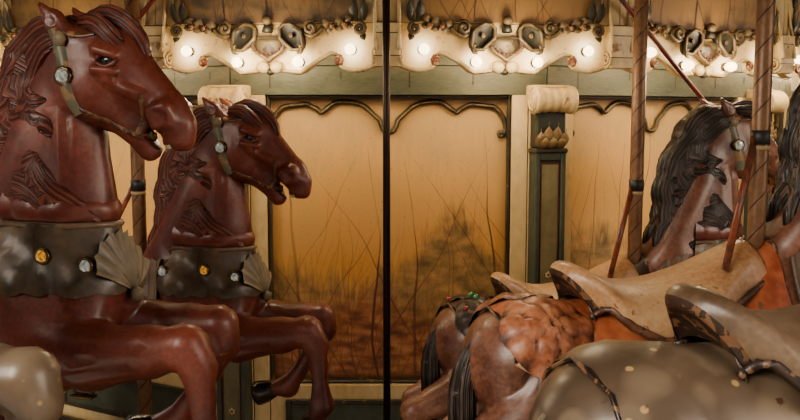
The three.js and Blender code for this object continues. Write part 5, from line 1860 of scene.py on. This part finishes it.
# The scene
CAMERA = (0.045, -5.870, 1.920)
CAMERA_DOWN = 6.2  # degrees below level
CAMERA_LENS = 40.05  # mm on a 36 mm sensor
RANKS = 10
ROWS = {
    "inner": {"share": 0.0, "scale": 1.00, "lift": 0.00},
    "middle": {"share": 0.5, "scale": 1.12, "lift": 0.03},
    "outer": {"share": 1.0, "scale": 1.22, "lift": 0.00},
}
RANK_INNER, RANK_OUTER, RANK_TRAIL = 2.860, 4.287, 0.150
STYLE_OF_RANK = ["rider", "dark", "parade", "rider", "dark", "parade", "rider", "dark", "rider", "parade"]
FINISHES = {
    "parade": {"coat": "coat_red", "mane": "mane_red", "blanket": "cloth_grey",
               "blanket_edge": "gilt_leather",
               "tassel": "gilt_leather", "saddle_leather": "leather_brown", "saddle_edge": "leather_dark"},
    "rider": {"coat": "coat_brown", "mane": "mane_dark", "blanket": "cloth_orange",
              "blanket_edge": "leather_tan",
              "tassel": "cloth_orange", "saddle_leather": "leather_tan", "saddle_edge": "leather_edge"},
    "jewelled": {"coat": "coat_brown", "mane": "mane_dark", "blanket": "cloth_dark",
                 "blanket_edge": "leather_edge",
                 "tassel": "cloth_dark", "saddle_leather": "leather_tan", "saddle_edge": "leather_edge",
                 "rosette_leather": "cloth_dark", "lobe_leather": "cloth_dark"},
    "dark": {"coat": "coat_bay", "mane": "mane_dark", "blanket": "cloth_green",
             "blanket_edge": "gilt_leather",
             "tassel": "gilt_leather", "saddle_leather": "leather_tan", "saddle_edge": "leather_edge"},
    "grey": {"coat": "coat_grey", "mane": "mane_grey", "blanket": "coat_grey", "blanket_edge": "leather_dark",
             "tassel": "gilt_leather", "saddle_leather": "leather_grey", "saddle_edge": "leather_dark"},
}


def make_materials():
    finish("cream_paint", [(176, 148, 92), (214, 184, 122), (232, 206, 148), (238, 216, 164)], 2.2,
           (1, 1, 0.5),
           chips=(150, 112, 66), chip_share=0.07, dirt=(120, 88, 50), reach=0.05, rough=(0.38, 0.6))
    finish("grey_green_paint", [(60, 68, 58), (80, 88, 74), (98, 102, 86), (120, 118, 96)], 2.4, (1, 1, 3.0),
           chips=(50, 46, 34), chip_share=0.07, dirt=(48, 46, 34), reach=0.06)
    finish("green_paint", [(48, 56, 46), (66, 74, 60), (88, 92, 76)], 5.0, chips=(104, 96, 66),
           chip_share=0.06)
    finish("olive_paint", [(108, 102, 68), (128, 122, 84), (148, 138, 100)], 6.0)
    finish("dark_trim", [(34, 32, 22), (52, 48, 32), (72, 64, 42)], 7.0, chips=(122, 100, 60),
           chip_share=0.16)
    finish("cusp_moulding", [(46, 44, 28), (66, 62, 38), (92, 84, 50)], 9.0, chips=(150, 112, 60),
           chip_share=0.12)
    finish("cusp_light", [(120, 98, 56), (154, 124, 74)], 12.0, chips=(80, 60, 34))
    finish("neck_paint", [(24, 30, 22), (38, 44, 32), (52, 54, 38)], 8.0, chips=(120, 100, 60),
           chip_share=0.1)
    finish("red_line", [(76, 30, 26), (100, 44, 36), (124, 62, 50)], 12.0, chips=(90, 70, 44),
           chip_share=0.15)
    finish("gilt_carving", [(52, 42, 26), (88, 72, 46), (122, 102, 68), (156, 132, 90)], 14.0,
           chips=(60, 46, 26), chip_share=0.06, dirt=(18, 14, 8), reach=0.03, rough=(0.35, 0.55), metal=0.15)
    finish("olive_carving", [(26, 26, 18), (44, 43, 28), (66, 62, 40)], 14.0, chips=(140, 114, 70),
           chip_share=0.08,
           reach=0.025)
    finish("dark_carving", [(30, 30, 20), (46, 44, 30), (64, 58, 40)], 14.0, chips=(140, 116, 70),
           chip_share=0.1)
    finish("rose_carving", [(92, 34, 24), (130, 62, 44), (164, 96, 70)], 14.0, chips=(190, 150, 100),
           reach=0.015)
    finish("cream_carving", [(190, 158, 100), (226, 198, 140), (242, 222, 170)], 12.0, chips=(150, 110, 64),
           chip_share=0.16, dirt=(84, 56, 28), reach=0.03)
    finish("shield_paint", [(84, 72, 48), (106, 92, 62), (124, 108, 76)], 10.0, chips=(60, 48, 30))
    finish("timber", [(70, 46, 26), (96, 66, 40), (118, 86, 54)], 4.0, (1, 1, 6))
    landscape("painted_scene", 0.80, 2.0)
    landscape("field_scene", 1.75, 2.95, 0.62)
    lit_board("lamp_board", 4.5)
    finish("capital_leaf", [(104, 80, 46), (146, 118, 74), (184, 156, 106)], 12.0, chips=(90, 66, 38),
           chip_share=0.06,
           dirt=(30, 24, 14), reach=0.02)
    make_metals()
    make_horse_materials()


def make_metals():
    finish("dark_steel", [(30, 20, 18), (48, 34, 30), (66, 48, 40)], 6.0, (1, 1, 0.4), metal=0.7,
           rough=(0.3, 0.5))
    finish("red_rod", [(70, 16, 16), (96, 26, 24), (122, 40, 34)], 6.0, chips=(50, 34, 28), chip_share=0.2,
           rough=(0.25, 0.45))
    finish("bezel", [(70, 54, 34), (112, 90, 58), (150, 126, 86)], 20.0, metal=0.8, rough=(0.22, 0.45))
    finish("gilt_metal", [(128, 92, 40), (176, 134, 62), (204, 164, 90)], 5.0, metal=0.9, rough=(0.22, 0.42))
    made = finish("pole_brass", [(84, 56, 38), (116, 82, 56), (142, 106, 76), (168, 132, 98)], 7.0,
                  (1, 1, 0.5),
                  dirt=(44, 28, 18), reach=0.008, metal=0.3, rough=(0.3, 0.5), grain=120.0)
    seam_round(made)
    finish("tape_black", [(16, 16, 18), (26, 26, 28), (40, 40, 40)], 30.0, rough=(0.4, 0.6), relief=0.4)
    finish("tape_beige", [(142, 118, 82), (172, 146, 104), (190, 166, 124)], 30.0, rough=(0.6, 0.8),
           relief=0.5)
    glow("lamp_glass", (255, 226, 170), 9.0)
    jewel("jewel_pale", [(150, 168, 170), (196, 208, 200), (228, 232, 222)], 0.15)
    jewel("jewel_amber", [(190, 110, 20), (236, 160, 40), (255, 206, 90)], 0.35)
    jewel("jewel_red", [(70, 4, 4), (150, 14, 12), (210, 40, 30)], 0.15)
    jewel("jewel_green", [(6, 60, 30), (20, 130, 70), (70, 200, 120)], 0.15)


def seam_round(made):
    """A dark seam that winds round the tube, from the angle and height of each point."""
    tree, parts = made["tree"], add(made["tree"], "SeparateXYZ", {"Vector": made["vector"]}).outputs
    turn = maths(tree, "MULTIPLY", maths(tree, "ARCTAN2", parts["Y"], parts["X"]), 1 / (2 * math.pi))
    risen = maths(tree, "MULTIPLY", parts["Z"], 1 / POLE_TURN)
    turn = maths(tree, "MULTIPLY", maths(tree, "SUBTRACT", turn, risen), 2)
    aside = maths(tree, "ABSOLUTE", maths(tree, "SUBTRACT", maths(tree, "FRACT", turn), 0.5))
    seam = span(tree, aside, 0.045, 0.02)
    linked(tree, made["shader"], Base_Color=mix(tree, seam, made["colour"], (52, 34, 24)),
           Normal=bump(tree, maths(tree, "SUBTRACT", 1.0, seam), 0.4, 0.003))


def make_horse_materials():
    coat = dict(chip_share=0.07, dirt=(14, 6, 4), reach=0.05, rough=(0.30, 0.48), coat=0.22,
                relief=0.12, depth=0.003, grain=95.0)
    finish("coat_red", [(46, 15, 11), (86, 34, 24), (118, 52, 36), (150, 78, 56)], 4.0, chips=(150, 96, 68),
           **coat)
    finish("coat_brown", [(50, 24, 16), (92, 54, 38), (128, 82, 60), (168, 120, 92)], 5.0,
           chips=(190, 150, 120), **coat)
    finish("coat_bay", [(24, 14, 11), (44, 27, 21), (66, 42, 31), (96, 66, 50)], 5.0, chips=(120, 84, 60),
           **coat)
    dapple("coat_grey")
    hair("mane_red", [(40, 12, 9), (84, 33, 23), (136, 72, 52)])
    hair("mane_dark", [(10, 8, 7), (26, 19, 16), (84, 62, 48)])
    hair("mane_grey", [(48, 42, 36), (90, 78, 66), (132, 118, 98)])
    leather = dict(rough=(0.3, 0.55), reach=0.03, coat=0.25, grain=90.0, relief=0.3, depth=0.002)
    finish("leather_tan", [(122, 78, 44), (168, 120, 76), (200, 156, 108), (218, 180, 134)], 4.0,
           chips=(138, 90, 54), chip_share=0.07, dirt=(60, 32, 18), **leather)
    finish("rosette_leather", [(96, 48, 28), (140, 76, 46), (178, 112, 74), (208, 152, 110)], 9.0,
           chips=(92, 50, 30), chip_share=0.12, dirt=(40, 16, 8), **leather)
    finish("leather_edge", [(50, 28, 18), (84, 52, 32), (124, 84, 54)], 6.0, chips=(60, 34, 20), **leather)
    finish("leather_brown", [(46, 24, 16), (78, 44, 28), (108, 66, 42)], 5.0, chips=(150, 106, 66), **leather)
    finish("leather_dark", [(24, 14, 10), (44, 28, 20), (66, 44, 32)], 6.0, chips=(120, 84, 54), **leather)
    finish("gilt_leather", [(96, 70, 36), (140, 108, 62), (176, 142, 88)], 12.0, chips=(60, 40, 24),
           **leather)
    worn_strap = dict(leather, chips=(90, 50, 30))
    finish("bridle_strap", [(112, 74, 42), (150, 108, 66), (184, 142, 94)], 8.0, **worn_strap)
    finish("strap_leather", [(112, 74, 42), (150, 108, 66), (184, 142, 94)], 8.0, **worn_strap)
    finish("safety_leather", [(96, 40, 20), (138, 62, 32), (172, 92, 54)], 8.0, **worn_strap)
    finish("cloth_grey", [(52, 52, 42), (76, 76, 62), (100, 98, 80)], 8.0, chips=(110, 84, 60),
           chip_share=0.08,
           rough=(0.35, 0.6))
    finish("cloth_orange", [(92, 34, 16), (140, 62, 32), (178, 96, 54), (204, 132, 84)], 8.0,
           chips=(110, 70, 44),
           chip_share=0.10, rough=(0.35, 0.6))
    finish("cloth_green", [(28, 40, 26), (46, 62, 40), (70, 84, 56)], 8.0, chips=(130, 96, 60),
           chip_share=0.2)
    finish("cloth_dark", [(22, 14, 10), (42, 27, 20), (66, 46, 34)], 8.0, chips=(96, 66, 46), chip_share=0.06,
           rough=(0.3, 0.5))
    finish("leather_grey", [(70, 52, 38), (104, 82, 62), (138, 114, 88)], 5.0, chips=(160, 130, 96),
           chip_share=0.06,
           **leather)
    finish("lobe_leather", [(84, 30, 14), (124, 52, 26), (158, 82, 46)], 9.0, chips=(90, 44, 24),
           chip_share=0.06,
           dirt=(40, 14, 6), **leather)
    finish("collar", [(34, 28, 20), (58, 48, 36), (84, 68, 50), (118, 96, 72)], 9.0, chips=(96, 52, 36),
           chip_share=0.10, dirt=(26, 16, 10), reach=0.03, rough=(0.25, 0.5), coat=0.3)
    finish("collar_roll", [(84, 60, 46), (118, 94, 72), (150, 124, 98)], 8.0, chips=(84, 40, 28),
           chip_share=0.08,
           coat=0.3)
    finish("band", [(62, 20, 14), (100, 40, 28), (132, 66, 46)], 6.0, rough=(0.26, 0.44), coat=0.2)
    finish("mouth_dark", [(14, 6, 5), (26, 12, 9)], 20.0, rough=(0.4, 0.6), dirt=None)
    finish("shell", [(78, 68, 54), (112, 100, 80), (144, 130, 106)], 10.0, chips=(80, 56, 40),
           chip_share=0.08,
           dirt=(24, 16, 10))
    finish("sash", [(70, 52, 40), (102, 80, 62), (132, 108, 86)], 10.0, chips=(90, 44, 30), chip_share=0.08,
           dirt=(22, 14, 10))
    finish("cheek_strap", [(72, 72, 56), (100, 98, 78), (128, 124, 98)], 12.0, chips=(150, 120, 80), coat=0.2)
    finish("hoof", [(18, 16, 15), (34, 30, 28), (56, 50, 44)], 8.0, (1, 1, 4), rough=(0.2, 0.4), coat=0.3)
    finish("teeth", [(190, 178, 148), (216, 204, 176)], 20.0, rough=(0.2, 0.3))
    finish("eye", [(10, 7, 6), (24, 14, 10)], 20.0, rough=(0.04, 0.08), relief=0.0, coat=1.0, dirt=None)


def dapple(name):
    """A pale grey-brown coat with round dapples and dark spots, worn through in places."""
    tree, shader, vector = started(name, False)
    base = ramp(tree, noise(tree, vector, 3.0, 6.0, warp=0.8), [(0.3, (44, 33, 25)), (0.45, (72, 58, 45)),
                                                               (0.6, (98, 81, 64)), (0.72, (124, 106, 84))])
    cells = add(tree, "TexVoronoi", {"Vector": vector, "Scale": 15.0, "Randomness": 0.9}, feature="SMOOTH_F1")
    spots = span(tree, cells.outputs["Distance"], 0.28, 0.42, 0.55, 0.0)
    colour = mix(tree, spots, base, (134, 116, 94))
    flecks = add(tree, "TexVoronoi", {"Vector": vector, "Scale": 24.0, "Randomness": 1.0}).outputs["Distance"]
    colour = mix(tree, span(tree, flecks, 0.10, 0.16, 0.85, 0.0), colour, (196, 160, 104))
    wear_and_shade = noise(tree, vector, 34.0, 9.0)
    colour = mix(tree, span(tree, wear_and_shade, 0.66, 0.70), colour, (84, 56, 36))
    # darker in crevices by ambient occlusion: painted shade, with dirt
    colour = crevices(tree, False, 0.05, colour, (40, 28, 20))
    linked(tree, shader, Base_Color=colour, Roughness=span(tree, wear_and_shade, 0.3, 0.7, 0.28, 0.46),
           Coat_Weight=0.25,
           Coat_Roughness=0.25, Normal=bump(tree, wear_and_shade, 0.12, 0.003))


def horse_shapes():
    """Every part of a horse at scale 1, over x = 0, y = 0, with z above the deck."""
    body, head = body_form(), head_form()
    shapes = [carved("coat", body, BODY_FACES, 1), carved("coat", head, HEAD_FACES, 1)]
    mane = Form(mane_parts(), (0.02, -0.17, 1.05), (0.60, 0.17, 1.68), HAIR_STEP)
    shapes.append(combed(carved("mane", mane, MANE_FACES, 1), mane_lines()))
    tail = Form(tail_parts(), (-0.96, -0.10, 0.48), (-0.70, 0.10, 0.98), HAIR_STEP)
    shapes.append(combed(carved("mane", tail, TAIL_FACES, 0), [fine_path(lock, 16) for lock in TAIL_LOCKS]))
    shapes += hooves() + eyes(head) + teeth() + bridle(head)
    shapes += saddle(body) + blanket(body) + collar(body) + sash(body) + rump_rosette(body)
    return shapes, rump_jewels(body)


def horse_mesh(row, style, shapes, jewels):
    scale, lift = ROWS[row]["scale"], DECK + ROWS[row]["lift"]
    kinds = FINISHES[style]
    made = []
    plain = [s for s in shapes if style != "grey" or s["material"] not in ("rosette_leather", "lobe_leather")]
    for s in plain + (jewels if style == "jewelled" else []):
        copy = dict(s, co=s["co"] * scale + [0, 0, lift], material=kinds.get(s["material"], s["material"]))
        made.append(copy)
    made += pole(0.1605, 3.4195)
    low = lift + 1.312 * scale
    made += [tape(low, low + 0.013, "tape_beige"), tape(low + 0.015, low + 0.055, "tape_black")]
    made.append(safety_strap(scale, lift))
    return mesh_of("horse_" + row + "_" + style, made)


def place_horses():
    shapes, jewels = horse_shapes()
    meshes = {}
    for row, values in ROWS.items():
        along = RANK_INNER + (RANK_OUTER - RANK_INNER) * values["share"]
        back = RANK_TRAIL * values["share"]
        radius, lag = math.hypot(along, back), math.degrees(math.atan2(back, along))
        for rank in range(RANKS):
            style = "grey" if row == "outer" else STYLE_OF_RANK[rank]
            if row == "inner" and style == "rider":
                style = "jewelled"
            if (row, style) not in meshes:
                meshes[row, style] = horse_mesh(row, style, shapes, jewels)
            name = "horse_" + row + "_" + str(rank + 1).zfill(2)
            obj = bpy.data.objects.new("carved_" + name, meshes[row, style])
            bpy.context.scene.collection.objects.link(obj)
            azimuth = 360 / RANKS * (rank + 0.5) - lag
            obj.location = at(azimuth, radius, 0)
            obj.rotation_euler = (0, 0, math.radians(azimuth))
            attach(obj, name)
            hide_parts(name)


def plinth_shapes():
    """Boards over one side of the plinth, set in its faces."""
    face = 2.3010
    half = face * math.tan(HALF_SIDE) - 0.002
    return planks((-half, 0.0), (half, 0.3195), 6, face - 0.008, face, "grey_green_paint")


def build_centre():
    joined("drum_boards", round_all(drum_face(), FACES), "centre", ["drum_wall"])
    joined("scene_panels", round_all(panel(), FACES), "centre", ["painted_panels"])
    joined("plinth_boards", round_all(plinth_shapes(), FACES), "centre")
    joined("corner_pilasters", round_all(pilaster(), CORNERS), "centre", ["pilasters"])


def build_turntable():
    boards = round_all(wave_board() + lamps(BOARD_FACE), BOARDS) + round_all(console(), JOINTS)
    joined("waved_cornice", boards, "turntable", ["inner_cornice"])
    carving = [placed(s,
                      (0, -FIELD_FACE, 0)) for s in cartouche() + both_halves(carved_side() + side_frame())]
    joined("cornice_fields", round_all(field_board() + carving, BOARDS) + straps(), "turntable",
           ["cornice_boards"])
    joined("platform_edge", round_all(rim_board(), RIMS), "turntable", ["platform_rim"])
    joined("hanging_rods", inner_hangers(), "turntable", ["inner_hangers"])
    joined("outer_rods", outer_hangers(), "turntable", ["outer_hangers"])
    outer = round_all(rounding_board() + round_lamps(), BOARDS) + round_all(rounding_joint(), JOINTS)
    joined("outer_boards", outer, "turntable", ["rounding_boards"])
    tilt = joined("canvas_top", [canvas()], "turntable", ["canvas_tilt"])
    joined("crown_finial", finial_shapes(), "turntable", ["finial"])


def straps():
    """Flat irons that hang the cornice from the sweeps."""
    strap = block((-0.030, -0.006, 2.900), (0.030, 0.006, 3.2995), "dark_steel", 0.002)
    middle = (FIELD_FACE - 0.017) / math.cos(math.radians(9))
    return round_all([strap], HANGERS, middle)


NODE_FINISHES = {
    "plinth": "node_plinth", "drum_lid": "node_boards", "mast": "node_steel", "platform_deck": "node_deck",
    "platform_joists": "node_boards", "sweep_frame": "node_beams", "pole_guides": "node_beams",
    "rafters": "node_beams",
}


def paint_frame_nodes():
    for name, kind in NODE_FINISHES.items():
        obj = frame["nodes"][name]
        for index in range(len(obj.data.materials)):
            obj.material_slots[index].link = "OBJECT"
            obj.material_slots[index].material = MATERIALS[kind]


def make_node_materials():
    """Finishes of the frame's own nodes, and the canvas."""
    wood("node_beams", [(58, 38, 22), (86, 58, 34), (112, 80, 48)])
    wood("node_boards", [(50, 34, 22), (76, 54, 34), (98, 74, 48)])
    finish("node_plinth", [(58, 64, 52), (80, 86, 70), (100, 102, 82)], 3.0, (1, 1, 2), whole_node=True)
    wood("node_deck", [(58, 40, 26), (90, 64, 40), (118, 88, 58)])
    finish("node_steel", [(28, 22, 20), (46, 36, 32), (60, 48, 42)], 3.0, metal=0.7, whole_node=True)
    finish("canvas", [(150, 132, 98), (178, 160, 122), (196, 180, 144)], 1.6, dirt=(96, 80, 54),
           reach=0.2, rough=(0.75, 0.9), relief=0.3, grain=120.0)


LAMP_COLOUR = (1.0, 0.76, 0.48)
STUDIO_LIGHTS = (
    ("key", (-5.5, -9.0, 5.5), (0, -2.5, 1.2), 4.0, 900, (1.0, 0.86, 0.70)),
    ("fill", (7.0, -7.5, 3.5), (0, -2.5, 1.2), 4.0, 380, (1.0, 0.80, 0.62)),
    ("rim", (-6.5, 2.0, 4.5), (0, -2.5, 1.5), 3.0, 220, (0.92, 0.92, 1.0)),
)  # name, place, target, size, watts and colour


def lamp_light(name, place, energy, size):
    light = bpy.data.lights.new(name, "POINT")
    light.energy, light.color, light.shadow_soft_size = energy, LAMP_COLOUR, size
    obj = bpy.data.objects.new(name, light)
    obj.location = place
    bpy.context.scene.collection.objects.link(obj)


def area_light(name, place, target, size, energy, colour):
    light = bpy.data.lights.new(name, "AREA")
    light.energy, light.color, light.size = energy, colour, size
    obj = bpy.data.objects.new(name, light)
    obj.location = place
    way = np.array(target, float) - place
    flat = math.hypot(way[0], way[1])
    obj.rotation_euler = (math.atan2(flat, -way[2]), 0, math.atan2(way[1], way[0]) - math.pi / 2)
    bpy.context.scene.collection.objects.link(obj)


def build_light():
    """A dim warm room, two lights behind and before each lamp board, and three soft studio lights."""
    world = bpy.data.worlds.new("studio")
    world.use_nodes = True
    background = world.node_tree.nodes["Background"]
    background.inputs["Color"].default_value = (0.80, 0.74, 0.66, 1)
    background.inputs["Strength"].default_value = 0.35
    bpy.context.scene.world = world
    for k in range(20):
        lamp_light("lamp_front_" + str(k), at(BOARDS[k], 2.830, 2.120), 5.0, 0.05)
        lamp_light("lamp_back_" + str(k), at(BOARDS[k], 2.560, 2.180), 7.0, 0.06)
    for settings in STUDIO_LIGHTS:
        area_light(*settings)


def build_floor():
    mesh = bpy.data.meshes.new("floor")
    mesh.from_pydata([(-40, -40, 0), (40, -40, 0), (40, 40, 0), (-40, 40, 0)], [], [(0, 1, 2, 3)])
    floor = bpy.data.objects.new("floor", mesh)
    bpy.context.scene.collection.objects.link(floor)
    material = bpy.data.materials.new("floor")
    material.use_nodes = True
    shader = material.node_tree.nodes["Principled BSDF"]
    shader.inputs["Base Color"].default_value = linear((204, 198, 188))
    shader.inputs["Roughness"].default_value = 0.8
    mesh.materials.append(material)


def build_camera():
    camera = bpy.data.objects.new("camera", bpy.data.cameras.new("camera"))
    camera.data.lens, camera.data.sensor_width = CAMERA_LENS, 36.0
    camera.location = CAMERA
    camera.rotation_euler = (math.radians(90 - CAMERA_DOWN), 0, 0)
    camera.data.clip_start, camera.data.clip_end = 0.05, 200
    bpy.context.scene.collection.objects.link(camera)
    bpy.context.scene.camera = camera


for thing in list(bpy.data.objects):
    bpy.data.objects.remove(thing)
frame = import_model()
build_camera()
make_materials()
make_node_materials()
build_centre()
build_turntable()
place_horses()
paint_frame_nodes()
build_floor()
build_light()
